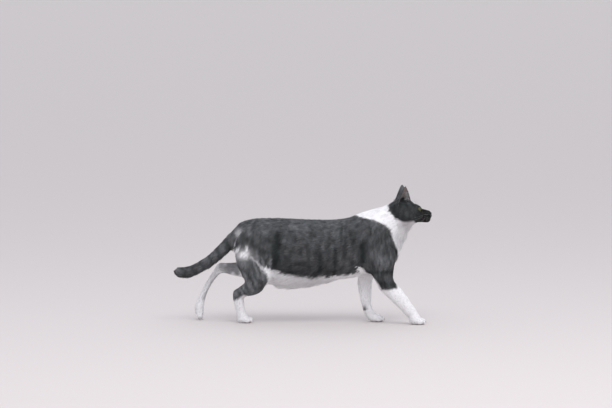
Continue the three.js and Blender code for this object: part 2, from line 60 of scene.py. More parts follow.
# The camera: degrees in front of square and above level, metres back, aside and up, and its optics.
CAMERA = {
    "azimuth": 5.0,
    "elevation": 4.0,
    "distance": 7.5,
    "aside": 0.010,
    "up": 0.2955,
    "lens": 176.5,
    "sensor_width": 36,
    "clip_end": 3000,
}
MARKINGS_SEEN = {"azimuth": 5.0, "elevation": 3.5}  # the side view in which the markings are laid out
KEY_LIGHT = {"watts": 71, "size": 2.5, "place": (0.8, -2.2, 3.2), "target": (0, 0, 0.15)}
SKY = {"Color": (0.93, 0.95, 1.0, 1), "Strength": 1.15}
FLOOR = {"half": 800, "colour": (0.52, 0.48, 0.475, 1)}

VOXEL = 2.7  # of the net from which the skin is made
SWELL = {"ear": 1.7, "": 0.5}  # closes the gaps between the solids before they are joined
SMOOTH_ROUNDS = 60

# By region: how far the skin lies inside the solids, how strongly their facets are smoothed, and of the tufts
# the length, width, area for each (square millimetres) and lift (degrees).
REGION_VALUES = ("depth", "smooth", "length", "width", "area", "lift")
REGIONS = {
    "rump": (4.0, 1.0, 14, 1.6, 2.0, 13),
    "belly": (4.6, 1.0, 14, 1.7, 2.3, 13),
    "chest": (4.2, 1.0, 14, 1.6, 1.9, 13),
    "neck": (4.0, 0.6, 13, 1.35, 1.25, 10),
    "tail": (3.8, 0.15, 14, 1.6, 1.9, 15),
    "upper": (3.5, 0.7, 11, 1.5, 2.1, 10),
    "thigh": (3.9, 0.8, 13, 1.6, 2.2, 13),
    "shin": (2.2, 0.3, 9, 1.3, 1.72, 9),
    "forearm": (1.8, 0.25, 8, 1.15, 1.52, 7),
    "foot": (1.5, 0.25, 7, 1.05, 1.47, 7),
    "paw": (1.0, 0.1, 4.5, 0.85, 1.25, 7),
    "head": (1.7, 0.08, 5.0, 0.8, 0.98, 9.5),
    "ear": (0.5, 0.0, 3.4, 0.7, 1.05, 11),
}


def region_of(node):
    return next(key for key in REGIONS if key in node)


# ---------------------------------------------------------------- small tools


def unit(v):
    return v / np.maximum(np.linalg.norm(v, axis=-1, keepdims=True), 1e-12)


def dot(a, b):
    return np.sum(a * b, axis=-1)


def smoothstep(low, high, x):
    t = np.clip((x - low) / (high - low), 0, 1)
    return t * t * (3 - 2 * t)


def mix(a, b, t):
    """Between colours or points a and b, with one share for each."""
    return a + (b - a) * np.asarray(t)[:, None]


def lattice(i, j, k, seed):
    """A number from 0 to 1 for each point of a lattice, the same each run."""
    h = (i * 73856093) ^ (j * 19349663) ^ (k * 83492791) ^ (seed * 2654435761)
    h = (h ^ (h >> 13)) * 1274126177
    h = h ^ (h >> 16)
    return (h & 0xFFFFFF) / float(0xFFFFFF)


def noise(p, size, seed):
    """Smooth noise from -1 to 1 with lumps of this size."""
    q = p / size
    low = np.floor(q).astype(np.int64)
    t = q - low
    t = t * t * (3 - 2 * t)
    total = np.zeros(len(p))
    for corner in range(8):
        step = np.array([corner >> 2 & 1, corner >> 1 & 1, corner & 1])
        weight = np.prod(np.where(step, t, 1 - t), axis=1)
        cell = low + step
        total += weight * lattice(cell[:, 0], cell[:, 1], cell[:, 2], seed)
    return 2 * total - 1


def rows_of(items, name, width, kind=np.int32):
    """One property of all the items of a mesh, a row for each."""
    values = np.zeros(len(items) * width, kind)
    items.foreach_get(name, values)
    return values.reshape(-1, width)


def points_of(mesh):
    return rows_of(mesh.vertices, "co", 3, np.float32).astype(float) / MM


def put_points(mesh, points):
    mesh.vertices.foreach_set("co", (points * MM).astype(np.float32).ravel())


def mesh_object(name, points, faces, material):
    """An object from points in millimetres and faces that all have the same number of corners."""
    mesh = bpy.data.meshes.new(name)
    count, corners = faces.shape
    mesh.vertices.add(len(points))
    put_points(mesh, points)
    mesh.loops.add(count * corners)
    mesh.loops.foreach_set("vertex_index", faces.astype(np.int32).ravel())
    mesh.polygons.add(count)
    mesh.polygons.foreach_set("loop_start", np.arange(0, count * corners, corners, dtype=np.int32))
    mesh.polygons.foreach_set("use_smooth", np.full(count, True))
    mesh.update(calc_edges=True)
    mesh.validate()
    mesh.materials.append(material)
    piece = bpy.data.objects.new(name, mesh)
    bpy.context.scene.collection.objects.link(piece)
    return piece


def repeated(faces, count, points_each):
    """The faces of one thing, for many of them in a row."""
    return (faces[None] + points_each * np.arange(count)[:, None, None]).reshape(-1, 3)


def set_colours(piece, colours):
    """One colour for each point of the piece, which its material reads."""
    rgba = np.ones((len(colours), 4), np.float32)
    rgba[:, :3] = colours
    layer = piece.data.attributes.new("coat", "FLOAT_COLOR", "POINT")
    layer.data.foreach_set("color", rgba.ravel())


def set_bake_map(piece, places, patch):
    """The map named OFBake: for each tuft or hair a small patch round its place."""
    corners = rows_of(piece.data.loops, "vertex_index", 1)[:, 0]
    uv_of_points = np.clip(places, PATCH, 1 - PATCH)[:, None] + patch * PATCH / 2
    layer = piece.data.uv_layers.new(name="OFBake")
    layer.uv.foreach_set("vector", uv_of_points.reshape(-1, 2)[corners].astype(np.float32).ravel())


# ---------------------------------------------------------------- soft forms, as signed distances

FAR = 1e9  # further than any form


def ball(p, centre, radii):
    radii = np.asarray(radii, float)
    return (np.linalg.norm((p - np.asarray(centre, float)) / radii, axis=1) - 1) * radii.min()


def melt(a, b, band):
    near = np.maximum(band - np.abs(a - b), 0) / band
    return np.minimum(a, b) - near * near * band / 4


def carve(a, b, band):
    """Takes form b out of form a, with a rounded edge."""
    return -melt(-a, b, band)


def stretches(p, path):
    """For each stretch of a path: its ends, how far along it p is, and the way from there to p."""
    for start, end in zip(path[:-1], path[1:]):
        run, offset = (end - start)[:3], p - start[:3]
        along = np.clip(offset @ run / (run @ run), 0, 1)
        yield start, end, along, offset - along[:, None] * run


def chain(p, rings):
    """Oval rings [x, y, z, half depth, half width] strung on a path that bends in the plane of X and Z."""
    nearest = np.full(len(p), FAR)
    for start, end, along, beyond in stretches(p, np.asarray(rings, float)):
        tangent = unit((end - start)[:3])
        across = unit(np.array([0, 1.0, 0]) - tangent * tangent[1])
        normal = np.cross(tangent, across)
        depth, width = (start[k] + (end[k] - start[k]) * along for k in (3, 4))
        least = np.minimum(depth, width)
        ratios = np.stack([beyond @ normal / depth, beyond @ across / width, beyond @ tangent / least])
        nearest = np.minimum(nearest, (np.linalg.norm(ratios, axis=0) - 1) * least)
    return nearest


def thread(p, points, radius):
    """A round thread through these points."""
    ways = [beyond for *_, beyond in stretches(p, np.asarray(points, float))]
    return np.min(np.linalg.norm(ways, axis=2), axis=0) - radius


def slope_of(form, p, value, step=0.15):
    return np.stack([(form(p + step * axis) - value) / step for axis in np.eye(3)], axis=1)


def pulled_onto(form, p, level, rounds, reach=2.0):
    """Moves points onto the surface where the form has this level."""
    p = p.copy()
    for _ in range(rounds):
        value = form(p)
        slope = slope_of(form, p, value)
        step = -(value - level)[:, None] * slope / np.maximum(dot(slope, slope), 0.2)[:, None]
        length = np.linalg.norm(step, axis=1, keepdims=True)
        p += step * np.minimum(1, reach / np.maximum(length, 1e-9))
    return p


# ---------------------------------------------------------------- places taken from the solids


def centre_of(node):
    low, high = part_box(node)
    return np.array((low + high) / 2) / MM


def folded(q):
    """The same places with Y measured outwards from the middle, for what is alike on both sides."""
    return np.stack([q[:, 0], np.abs(q[:, 1]), q[:, 2]], axis=1)


EYE_AT = np.array([22.5, 18, 7])  # the left eye's middle, in the head frame
NOSE_AT = np.array([58, 0, -3])


def head_frame():
    """The turn and place of the head frame, from the solids of the eyes and the nose."""
    left, right, nose = (centre_of(name) for name in ("eye_left", "eye_right", "nose"))

    def axes(ahead, across):
        ahead, across = unit(ahead), unit(across)
        return np.stack([ahead, across, np.cross(ahead, across)], axis=1)

    middle = EYE_AT * (1, 0, 1)
    turn = axes(nose - (left + right) / 2, left - right) @ axes(NOSE_AT - middle, np.array([0, 1.0, 0])).T
    return turn, (left + right) / 2 - turn @ middle


HEAD_TURN, HEAD_PLACE = head_frame()


def to_head(p):
    return (p - HEAD_PLACE) @ HEAD_TURN


def from_head(p):
    return p @ HEAD_TURN.T + HEAD_PLACE


# The part's origin is under the middle of its box. These tables are laid out from a place near it.
SHIFT = np.array([-1.460, -0.314, 0])

# ---------------------------------------------------------------- the head's form

NECK_RINGS = np.array(
    [
        [165, 0, 205, 60, 46],
        [190, 0, 223, 66, 45],
        [215, 1, 243, 54, 41],
        [237, 2, 260, 43, 36],
        [254, 3, 272, 34, 32],
    ],
    float,
) + [*SHIFT, 0, 0]

# The eyes: radii, and in degrees the way they look and the size and slant of their opening.
EYE = {
    "radius": 10.0,
    "lid": 11.1,  # from the eye's middle to the lids
    "outwards": 33,
    "up": 6,
    "half_width": 54,
    "inner_half_width": 41,
    "half_height": 37,
    "slant": 20,
}
EAR = {
    "root": np.array([-10, 20.5, 12.0]),
    "tip": np.array([-7.5, 34, 68.0]),
    "opening_turn": math.radians(54),
    "half_width": 27,
    "cup": 14,
    "half_thickness": 0.95,
    "taper": 0.75,
    "foot": 0.06,
}


def eye_axes(side):
    """Where an eye looks, and the directions across and up its opening, in the head frame."""
    turn, up = math.radians(EYE["outwards"]) * side, math.radians(EYE["up"])
    looks = np.array([math.cos(turn) * math.cos(up), math.sin(turn) * math.cos(up), math.sin(up)])
    outer = unit(np.cross([0, 0, 1.0], looks)) * side
    upper = unit(np.cross(looks, outer) * side)
    cos, sin = math.cos(math.radians(EYE["slant"])), math.sin(math.radians(EYE["slant"]))
    return looks, cos * outer + sin * upper, cos * upper - sin * outer


def eye_opening(half):
    """The almond between the lids as a distance, in the head frame. It holds only in front of the eye."""
    looks, outer, upper = eye_axes(1)
    r = half - EYE_AT
    far = np.maximum(np.linalg.norm(r, axis=1), 1e-6)
    along = np.degrees(np.arctan2(r @ outer, r @ looks))
    along = along / np.where(along < 0, EYE["inner_half_width"], EYE["half_width"])
    above = np.degrees(np.arcsin(np.clip(r @ upper / far, -1, 1)))
    bow = np.clip(1 - along * along, 0, 1)
    top = EYE["half_height"] * bow**0.62
    bottom = -0.8 * EYE["half_height"] * bow**0.8
    sides = (np.abs(along) - 1) * EYE["half_width"]
    almond = np.radians(np.maximum.reduce([above - top, bottom - above, sides])) * far
    return np.maximum.reduce([almond, EYE["radius"] - 1 - far, far - EYE["lid"] - 3.5])


def ear_axes(side):
    root, tip = EAR["root"] * (1, side, 1), EAR["tip"] * (1, side, 1)
    rise = tip - root
    facing = np.array([math.cos(EAR["opening_turn"]), side * math.sin(EAR["opening_turn"]), 0])
    facing = unit(facing - rise * (facing @ rise) / (rise @ rise))
    return root, rise, facing, np.cross(unit(rise), facing)


def ear_places(q, side):
    """How far up the ear (0 to 1), across it (-1 to 1) and from its sheet, and its half width there."""
    root, rise, facing, across = ear_axes(side)
    r = q - root
    up = r @ rise / (rise @ rise)
    narrowing = np.maximum(1 - np.clip(up, -0.3, 1), 0.004) ** EAR["taper"]
    width = EAR["half_width"] * narrowing
    share = r @ across / width
    bow = np.clip(share, -1.2, 1.2)
    sheet = -EAR["cup"] * (1 - bow * bow) * narrowing
    slope = 2 * EAR["cup"] * np.clip(bow, -1, 1) / EAR["half_width"]
    return up, share, (r @ facing - sheet) / np.sqrt(1 + slope * slope), width


def ear_form(q, side):
    up, share, off, width = ear_places(q, side)
    thick = EAR["half_thickness"] * (1 - 0.45 * np.clip(share * share, 0, 1))
    thick = thick * (1 - 0.3 * np.clip(up, 0, 1)) + 2.2 * smoothstep(0.35, 0.05, up)
    ridge = 0.9 * np.exp(-(((share - 0.28) / 0.09) ** 2)) * smoothstep(0.7, 0.35, up) * (off > 0)
    leaf = np.abs(off) - thick - ridge
    rim = np.abs(share * width) - width * (0.62 + 0.38 * smoothstep(0.02, 0.38, up))
    ends = np.maximum((up - 0.985) * 40, (EAR["foot"] - up) * 60)
    return -melt(-leaf, -np.maximum(rim, ends), 1.4)


# The lips' line: degrees round the muzzle from its front, and height in the head frame.
LIPS = np.array([(0, -14.0), (14, -16.2), (32, -17.6), (60, -18.0), (95, -17.4), (124, -15.0)])


def mouth_depth(half):
    """How deep the line of the lips and the cleft under the nose are cut, in the head frame."""
    x, y, z = half.T
    angle = np.degrees(np.arctan2(y, x - 40))
    height = np.interp(angle, LIPS[:, 0], LIPS[:, 1])
    lips = 1.8 * np.exp(-(((z - height) / 1.0) ** 2)) * smoothstep(126, 112, angle) * (x > 20)
    cleft = 1.2 * np.exp(-((y / 0.8) ** 2)) * smoothstep(-15.2, -14, z) * smoothstep(-5.5, -7, z)
    return np.maximum(lips, cleft * smoothstep(50, 54, x))


MUZZLE_RINGS = [[17, 0, -2, 14.5, 16.3], [34, 0, -3.5, 12.5, 13], [53, 0, -6, 9.5, 10.5]]
JAW_RINGS = [[4, 0, -12, 15, 22], [28, 0, -15, 11, 16], [48, 0, -17.5, 8, 11]]
# Middles and radii of the ovals of the head; those away from the middle stand on both sides.
HEAD_OVALS = {
    "skull": ((-10, 0, 2), (34, 34, 30)),
    "crown": ((-6, 0, 9), (19.5, 24, 22.5)),
    "cheek": ((-1, 25, -10), (24, 18, 17)),
    "brow": ((12.5, 15, 12.2), (11, 9.5, 8)),
    "cheekbone": ((25, 18.5, -6), (14, 11, 10)),
    "whisker_pad": ((46.5, 9.3, -9.5), (13, 11.5, 10.5)),
    "chin": ((48, 0, -19), (9.6, 9.0, 7.2)),
    "ear_root": ((-13, 22, 17), (20, 13, 14)),
    "socket": (EYE_AT + (6.5, 6.5, 0), (7.5, 7.5, 7.5)),
    "lids": (EYE_AT, (EYE["lid"] + 1.6,) * 3),
    "nose_seat": (NOSE_AT + (3.6, 0, -0.4), (6.0, 5.4, 4.2)),
}


def head_form(p):
    """The skin of the head and the front of the neck in row millimetres, level 0 at the coat's tips."""
    q = to_head(p)
    half = folded(q)
    ovals = {name: ball(half, middle, radii) for name, (middle, radii) in HEAD_OVALS.items()}
    face = melt(melt(ovals["cheek"], ovals["brow"], 7), ovals["cheekbone"], 9)
    form = melt(ovals["skull"], ovals["crown"], 10)
    form = melt(form, chain(q, MUZZLE_RINGS), 8)
    form = melt(form, chain(q, JAW_RINGS), 9)
    form = melt(form, face, 9)
    form = melt(form, ovals["whisker_pad"], 4)
    form = melt(form, ovals["chin"], 3.5)
    form = melt(form, ovals["ear_root"], 10)
    form = melt(form, chain(p, NECK_RINGS), 14)
    form = carve(form, ovals["socket"], 5)
    form = melt(form, ovals["lids"], 7)
    return carve(form, ovals["nose_seat"], 2.5)


def head_skin(p, depth, details):
    """The head's skin: the form less the coat's depth, with ears, lids and the line of the mouth."""
    q = to_head(p)
    half = folded(q)
    form = head_form(p) + depth * (1 - 0.6 * smoothstep(24, 40, q[:, 0]))
    form = carve(form, ear_hollow(half), 5)
    form = melt(form, ear_form(half, 1), 5)
    if not details:
        return form
    form = form + mouth_depth(half)
    tear = thread(half, [EYE_AT + (9.2, -7.2, -3.4), EYE_AT + (13, -9, -6.2)], 0.5)
    form = carve(form, tear, 1.2)
    return carve(form, eye_opening(half), 0.6)


def ear_hollow(half):
    """The bottom of the ear's cup, sunk into the head."""
    root, rise, facing, _ = ear_axes(1)
    top, bottom = root + 0.34 * rise - 2.5 * facing, root + 0.02 * rise - 3 * facing
    return thread(half, [top, bottom], 7.5)


# ---------------------------------------------------------------- the paws' form

PAWS = {
    "foreleg_right": dict(at=(287, -26, 0), toes_down=0),
    "foreleg_left": dict(at=(181, 30, 0), toes_down=0),
    "hindleg_right": dict(at=(-144, -27, 0), toes_down=0),
    "hindleg_left": dict(at=(-271, 35, 21.2), toes_down=72),
}
# The rings of each leg above its paw.
WRISTS = {
    "foreleg_right": [
        [249, -30, 62, 20, 16],
        [264, -28, 44, 17, 14.5],
        [277, -26, 28, 14.5, 13.5],
        [283, -26, 19, 13, 13.5],
    ],
    "foreleg_left": [[159, 31, 58, 15.5, 13.5], [162, 30, 37, 13, 12.5], [170, 30, 20, 12, 13]],
    "hindleg_right": [[-154, -31, 70, 14, 13], [-153, -29, 47, 14, 12.5], [-148, -27, 26, 13.5, 12.5]],
    "hindleg_left": [[-242, 35, 84, 9, 10.5], [-254, 35, 57, 9.5, 11.5], [-259, 35, 38, 10.5, 12]],
}
# Middle and radii of each toe and of each pad of the sole, in the paw's own frame.
TOES = [
    ((10.5, 9.6, 7.9), (9.8, 5.3, 8.1)),
    ((16.0, 3.6, 8.3), (10.4, 5.2, 8.5)),
    ((16.0, -3.6, 8.3), (10.4, 5.2, 8.5)),
    ((10.5, -9.6, 7.9), (9.8, 5.3, 8.1)),
]
PADS = [
    ((12, 9.2, 1.6), (4.6, 3.2, 2.9)),
    ((18.5, 3.7, 1.6), (4.6, 3.0, 2.9)),
    ((18.5, -3.7, 1.6), (4.6, 3.0, 2.9)),
    ((12, -9.2, 1.6), (4.6, 3.2, 2.9)),
    ((2.5, 0, 1.8), (7.0, 8.6, 3.4)),
]
TOE_CLEFTS = (6.8, 0, -6.8)
SOLE_HEIGHT = 0.6


def turned_down(r, degrees):
    """Points turned about the Y axis, so that what was ahead goes down."""
    cos, sin = math.cos(math.radians(degrees)), math.sin(math.radians(degrees))
    return np.stack([cos * r[:, 0] + sin * r[:, 2], r[:, 1], cos * r[:, 2] - sin * r[:, 0]], axis=1)


def to_paw(p, limb):
    return turned_down(p - np.array(PAWS[limb]["at"]) - SHIFT, -PAWS[limb]["toes_down"])


def from_paw(q, limb):
    return turned_down(q, PAWS[limb]["toes_down"]) + np.array(PAWS[limb]["at"]) + SHIFT


def paw_skin(p, limb, depth):
    q = to_paw(p, limb)
    foot = ball(q, (0, 0, 10.5), (16.5, 14, 11.5))
    form = melt(foot, chain(p, np.array(WRISTS[limb], float) + [*SHIFT, 0, 0]), 8)
    for toe, radii in TOES:
        form = melt(form, ball(q, toe, radii), 2.2)
    for pad, radii in PADS:
        form = melt(form, ball(q, pad, radii), 0.8)
    for middle in TOE_CLEFTS:
        form = carve(form, thread(q, [(11, middle * 0.75, 15.5), (28, middle * 1.1, 7.5)], 1.0), 2.2)
    return np.maximum(form + depth, SOLE_HEIGHT - p[:, 2])


# ---------------------------------------------------------------- the skin


def solids_joined():
    """All the solids of flesh in one mesh, swollen a little so that they meet, with the faces' nodes."""
    whole = bmesh.new()
    triangles, points, nodes = [], [], []
    for name, node in sorted(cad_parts.items()):
        one = bmesh.new()
        one.from_mesh(node.data)
        bmesh.ops.remove_doubles(one, verts=one.verts, dist=1e-6)
        bmesh.ops.triangulate(one, faces=one.faces)
        one.normal_update()
        swell = SWELL["ear" if name.startswith("ear") else ""] * MM
        start = len(points)
        made = [whole.verts.new(v.co + v.normal * swell) for v in one.verts]
        points += [tuple(v.co) for v in one.verts]
        for face in one.faces:
            corners = [v.index for v in face.verts]
            whole.faces.new([made[c] for c in corners])
            triangles.append([start + c for c in corners])
            nodes.append(name)
        one.free()
    mesh = bpy.data.meshes.new("solids")
    whole.to_mesh(mesh)
    whole.free()
    return mesh, BVHTree.FromPolygons(points, triangles), nodes


def remeshed(mesh):
    rough = bpy.data.objects.new("rough", mesh)
    bpy.context.scene.collection.objects.link(rough)
    net = rough.modifiers.new("net", "REMESH")
    net.mode = "VOXEL"
    net.voxel_size = VOXEL * MM
    shaped = rough.evaluated_get(bpy.context.evaluated_depsgraph_get())
    result = bpy.data.meshes.new_from_object(shaped)
    bpy.data.objects.remove(rough)
    return result


class Net:
    """Points with edges and triangles, on which values can be spread and averaged."""

    def __init__(self, mesh):
        self.points = points_of(mesh)
        self.edges = rows_of(mesh.edges, "vertices", 2)
        mesh.calc_loop_triangles()
        self.triangles = rows_of(mesh.loop_triangles, "vertices", 3)
        count = len(self.points)
        self.degree = np.maximum(np.bincount(self.edges.ravel(), minlength=count), 1)

    def mean_round(self, values):
        values = np.asarray(values, float)
        flat = values.reshape(len(values), -1)
        a, b = self.edges[:, 0], self.edges[:, 1]
        out = np.empty_like(flat)
        for k in range(flat.shape[1]):
            column = flat[:, k]
            total = np.bincount(a, column[b], len(flat)) + np.bincount(b, column[a], len(flat))
            out[:, k] = total / self.degree
        return out.reshape(values.shape)

    def spread(self, values, rounds):
        for _ in range(rounds):
            values = 0.5 * values + 0.5 * self.mean_round(values)
        return values

    def face_normals(self):
        """Normals twice as long as their triangles are large."""
        a, b, c = (self.points[self.triangles[:, k]] for k in range(3))
        return np.cross(b - a, c - a)

    def normals(self):
        face = self.face_normals()
        total = np.zeros_like(self.points)
        for k in range(3):
            for axis in range(3):
                total[:, axis] += np.bincount(self.triangles[:, k], face[:, axis], len(self.points))
        return unit(total)


def smoothed(net, strength, rounds):
    weight = 0.5 * strength[:, None]
    for _ in range(rounds):
        net.points = net.points + weight * (net.mean_round(net.points) - net.points)


NECK_CUT = {"middle": (240, 0, 275), "ahead": (0.85, 0, 0.53)}  # where the head's own form begins


def head_share(p):
    """1 on the head, 0 on the trunk, with a soft change across the neck."""
    beyond = (p - np.array(NECK_CUT["middle"]) - SHIFT) @ unit(np.array(NECK_CUT["ahead"]))
    return smoothstep(-6, 10, beyond) * smoothstep(140, 180, p[:, 0])


def paw_share(p, limb):
    at = np.array(PAWS[limb]["at"]) + SHIFT
    near = smoothstep(46, 34, np.linalg.norm((p - at) * (1, 1.3, 0.6), axis=1))
    low = smoothstep(44, 30, p[:, 2]) if PAWS[limb]["toes_down"] else smoothstep(32, 20, p[:, 2])
    return near * low


def split_finer(mesh, wanted):
    """Splits the faces whose points are wanted into four."""
    fine = bmesh.new()
    fine.from_mesh(mesh)
    edges = [e for e in fine.edges if wanted[e.verts[0].index] and wanted[e.verts[1].index]]
    bmesh.ops.subdivide_edges(fine, edges=edges, cuts=1, use_grid_fill=True)
    bmesh.ops.triangulate(fine, faces=[f for f in fine.faces if len(f.verts) > 4])
    fine.to_mesh(mesh)
    fine.free()


def near_face(p):
    q = to_head(p)
    muzzle = (q[:, 0] > 30) & (np.abs(q[:, 1]) < 30) & (np.abs(q[:, 2]) < 32)
    eye = np.linalg.norm(folded(q) - EYE_AT, axis=1) < 16
    return muzzle | eye


def build_skin_net():
    """The net of the skin, with the region of each point, before its details."""
    mesh, solids, nodes = solids_joined()
    skin = remeshed(mesh)
    net = Net(skin)
    owner = owners_of(net.points, solids, nodes)
    smoothed(net, values_by_region(net, owner, "smooth", 6), SMOOTH_ROUNDS)
    put_points(skin, net.points)
    paws = sum(paw_share(net.points, limb) for limb in PAWS)
    split_finer(skin, (head_share(net.points) > 0.5) | (paws > 0.3))
    split_finer(skin, near_face(points_of(skin)))
    net = Net(skin)
    smoothed(net, np.full(len(net.points), 0.6), 4)
    return net, owners_of(net.points, solids, nodes)


def owners_of(points, solids, nodes):
    """The name of the solid nearest to each point."""
    owner = np.array([nodes[solids.find_nearest(Vector(p * MM))[2]] for p in points])
    owner[(owner == "nose") | np.char.startswith(owner, "eye")] = "head"
    return owner


def values_by_region(net, owner, key, rounds=14):
    kinds, which = np.unique(owner, return_inverse=True)
    column = REGION_VALUES.index(key)
    values = np.array([REGIONS[region_of(name)][column] for name in kinds], float)[which]
    return net.spread(values, rounds)


def belly_extra(p, normal):
    """The coat hangs deeper under the belly."""
    x, z = p[:, 0], p[:, 2]
    under = smoothstep(0.1, 0.8, -normal[:, 2]) * smoothstep(-110, -60, x) * smoothstep(190, 150, x)
    return 3.0 * under * (z > 60)


def pull_to(net, some, share, form, rounds, evening):
    """Moves some of the points onto a form by their share, and evens out their spacing."""
    for _ in range(rounds):
        pulled = pulled_onto(form, net.points[some], 0, 2)
        net.points[some] = mix(net.points[some], pulled, share)
        relax(net, some, share, evening)
    pulled = pulled_onto(form, net.points[some], 0, 2, 0.6)
    net.points[some] = mix(net.points[some], pulled, share)


def shaped_skin():
    """The net of the skin with all its details, and the name of the solid under each point."""
    net, owner = build_skin_net()
    depth = values_by_region(net, owner, "depth") + belly_extra(net.points, net.normals())
    depth = net.spread(depth, 6)
    outer = net.points.copy()
    net.points = net.points - net.normals() * depth[:, None]
    share = head_share(outer)
    on_head = np.flatnonzero(share > 0)
    head_depth, share = depth[on_head], share[on_head]
    pull_to(net, on_head, share, lambda p: head_skin(p, head_depth, False), 4, 0.5)
    pull_to(net, on_head, share, lambda p: head_skin(p, head_depth, True), 2, 0.2)
    for limb in PAWS:
        near = paw_share(outer, limb)
        some = np.flatnonzero(near > 0)
        pull_to(net, some, near[some], lambda p: paw_skin(p, limb, depth[some]), 3, 0.4)
    return net, owner


def relax(net, some, share, amount):
    """Evens out the spacing along the surface."""
    normal = net.normals()
    step = net.mean_round(net.points) - net.points
    step = step - normal * dot(step, normal)[:, None]
    net.points[some] += amount * share[:, None] * step[some]


# ---------------------------------------------------------------- markings, with painted light and shade

WHITE = np.array([0.81, 0.79, 0.81])
GREY = np.array([0.058, 0.059, 0.062])
DARK = np.array([0.0115, 0.0145, 0.0145])
PINK = np.array([0.42, 0.29, 0.27])
PAD = np.array([0.36, 0.22, 0.21])
EAR_HAIR = np.array([0.20, 0.185, 0.18])
NOSE_LEATHER = np.array([0.028, 0.020, 0.019])
FAR_LEG = ("hindleg_left_thigh", "hindleg_left_shin")
FAR_LEG_GREY = GREY * 2.6
# Painted shade for the far foot's forward side.
FAR_FOOT_PAINTED_SHADE = GREY * 5

# Lines between white and grey as seen from the side. Those of the belly and the jaw give the height at places
# forward of the middle, and the others the place forward at heights above the floor.
BELLY_LINE = [
    (-125, 150), (-99, 141), (-78, 134), (-50, 124),
    (10, 114), (90, 118), (145, 127), (170, 124),
]
COLLAR_LINE = [
    (70, 240), (86, 236), (118, 232), (143, 234), (168, 237), (184, 235), (212, 227),
    (233, 218), (246, 205), (254, 187), (259, 162), (264, 146), (270, 134),
]
ARMPIT_LINE = [(84, 197), (106, 185), (131, 157), (150, 140)]
# The fold in front of the thigh, and up towards the tail.
FLANK_FOLD = [
    (85, -80), (103, -82), (121, -88), (133, -97),
    (143, -105), (153, -112), (160, -119), (168, -127),
]
# Dark stripes of the sides: place forward, half width, lowest and highest point, strength.
STRIPES = [
    (-95, 7, 150, 215, 0.5),
    (-62, 14, 138, 228, 1.0),
    (-28, 6, 128, 178, 0.6),
    (20, 5, 130, 190, 0.5),
    (47, 7, 122, 174, 0.85),
    (66, 4.5, 130, 182, 0.5),
    (84, 6, 122, 192, 0.8),
    (99, 6, 198, 245, 0.7),
    (128, 6, 178, 235, 0.5),
    (153, 12, 132, 205, 1.0),
    (182, 6, 190, 225, 0.5),
    (205, 6, 165, 215, 0.45),
]
JAW_LINE = [
    (200, 288), (209, 286), (221, 268), (235, 259), (252, 252),
    (263, 251), (274, 256), (285, 246), (300, 232),
]
JAW_FROM = (212, 218)  # the jaw's line begins between these places
TRUNK_UNTIL = 200  # the belly's line ends here
HEAD_FROM = 205
LINE_SOFTNESS = 4.0
ELBOW = {"forward": 200, "up": 84, "rise": 0.05}  # the forelegs are white below this line
GROIN_LOWEST = 84
HOCKS = {"right": (-158, 60, 0.6), "left": (-214, 126, -0.35)}  # forward, up and rise; white below
# Soft spots as seen from the side: strength, place forward and up, reach forward and up.
SPOTS = {
    "seat": (1.12, -144, 170, 16, 11.5),
    "seat_point": (1.3, -160, 179, 5, 8),
    "seat_horn": (1.1, -136, 182, 4, 8),
    "tail_root": (0.6, -157, 222, 9, 10),
    "under_tail": (0.3, -150, 200, 9, 16),
    "upper_arm": (0.9, 199, 158, 24, 24),
    "left_wrist": (1.0, 153, 26, 7, 13),
}
STRIPE_EVERY = {"side": 21.0, "tail": 27.0, "thigh": 15.0, "brow": 11.0}
ARM_BANDS = [(128, 6, 0.7), (98, 8, 0.62)]  # height, half width, strength


def seen_from_side(p):
    """Places across and up a side view from a little in front and above, the same on both sides."""
    side = -np.abs(p[:, 1])
    azimuth, elevation = math.radians(MARKINGS_SEEN["azimuth"]), math.radians(MARKINGS_SEEN["elevation"])
    across = p[:, 0] * math.cos(azimuth) + side * math.sin(azimuth)
    back = side * math.cos(azimuth) - p[:, 0] * math.sin(azimuth)
    return across, p[:, 2] * math.cos(elevation) + back * math.sin(elevation)


def line_at(line, place):
    line = np.array(line, float)
    return np.interp(place, line[:, 0], line[:, 1])


def begins(owner, *names):
    """True where the owner's name begins with one of these."""
    return np.any([np.char.startswith(owner, name) for name in names], axis=0)


def spot(name, x, z):
    """The strength of a soft spot at places on the side view."""
    strength, forward, up, reach_forward, reach_up = SPOTS[name]
    return strength * np.exp(-(((x - forward) / reach_forward) ** 2 + ((z - up) / reach_up) ** 2))


def waves(place, length):
    """From 1 to 0 and back over each length."""
    return 0.5 + 0.5 * np.cos(2 * math.pi * place / length)


def across_line(beyond):
    """0 before a line between grey and white and 1 beyond it."""
    return smoothstep(-LINE_SOFTNESS, LINE_SOFTNESS, beyond)


def seat_patch(x, z):
    """The white patch under the tail, with two points, and the thin line down to the belly."""
    fold = np.abs(x - line_at(FLANK_FOLD, z))
    line = 0.55 * smoothstep(6.5, 1, fold) * smoothstep(118, 126, z) * smoothstep(176, 164, z)
    point = spot("seat_point", x - 0.6 * (z - 180), z)
    return np.clip(np.maximum.reduce([spot("seat", x, z), point, spot("seat_horn", x, z), line]), 0, 1)


def white_arm(x, z, front, inner):
    """White of the forelegs: below the elbow, up the armpit and on the inner side."""
    low = across_line(ELBOW["up"] + ELBOW["rise"] * (x - ELBOW["forward"]) - z)
    armpit = across_line(line_at(ARMPIT_LINE, z) - x) * (z < 140)
    return np.maximum.reduce([low, armpit, front, inner * smoothstep(150, 120, z)])


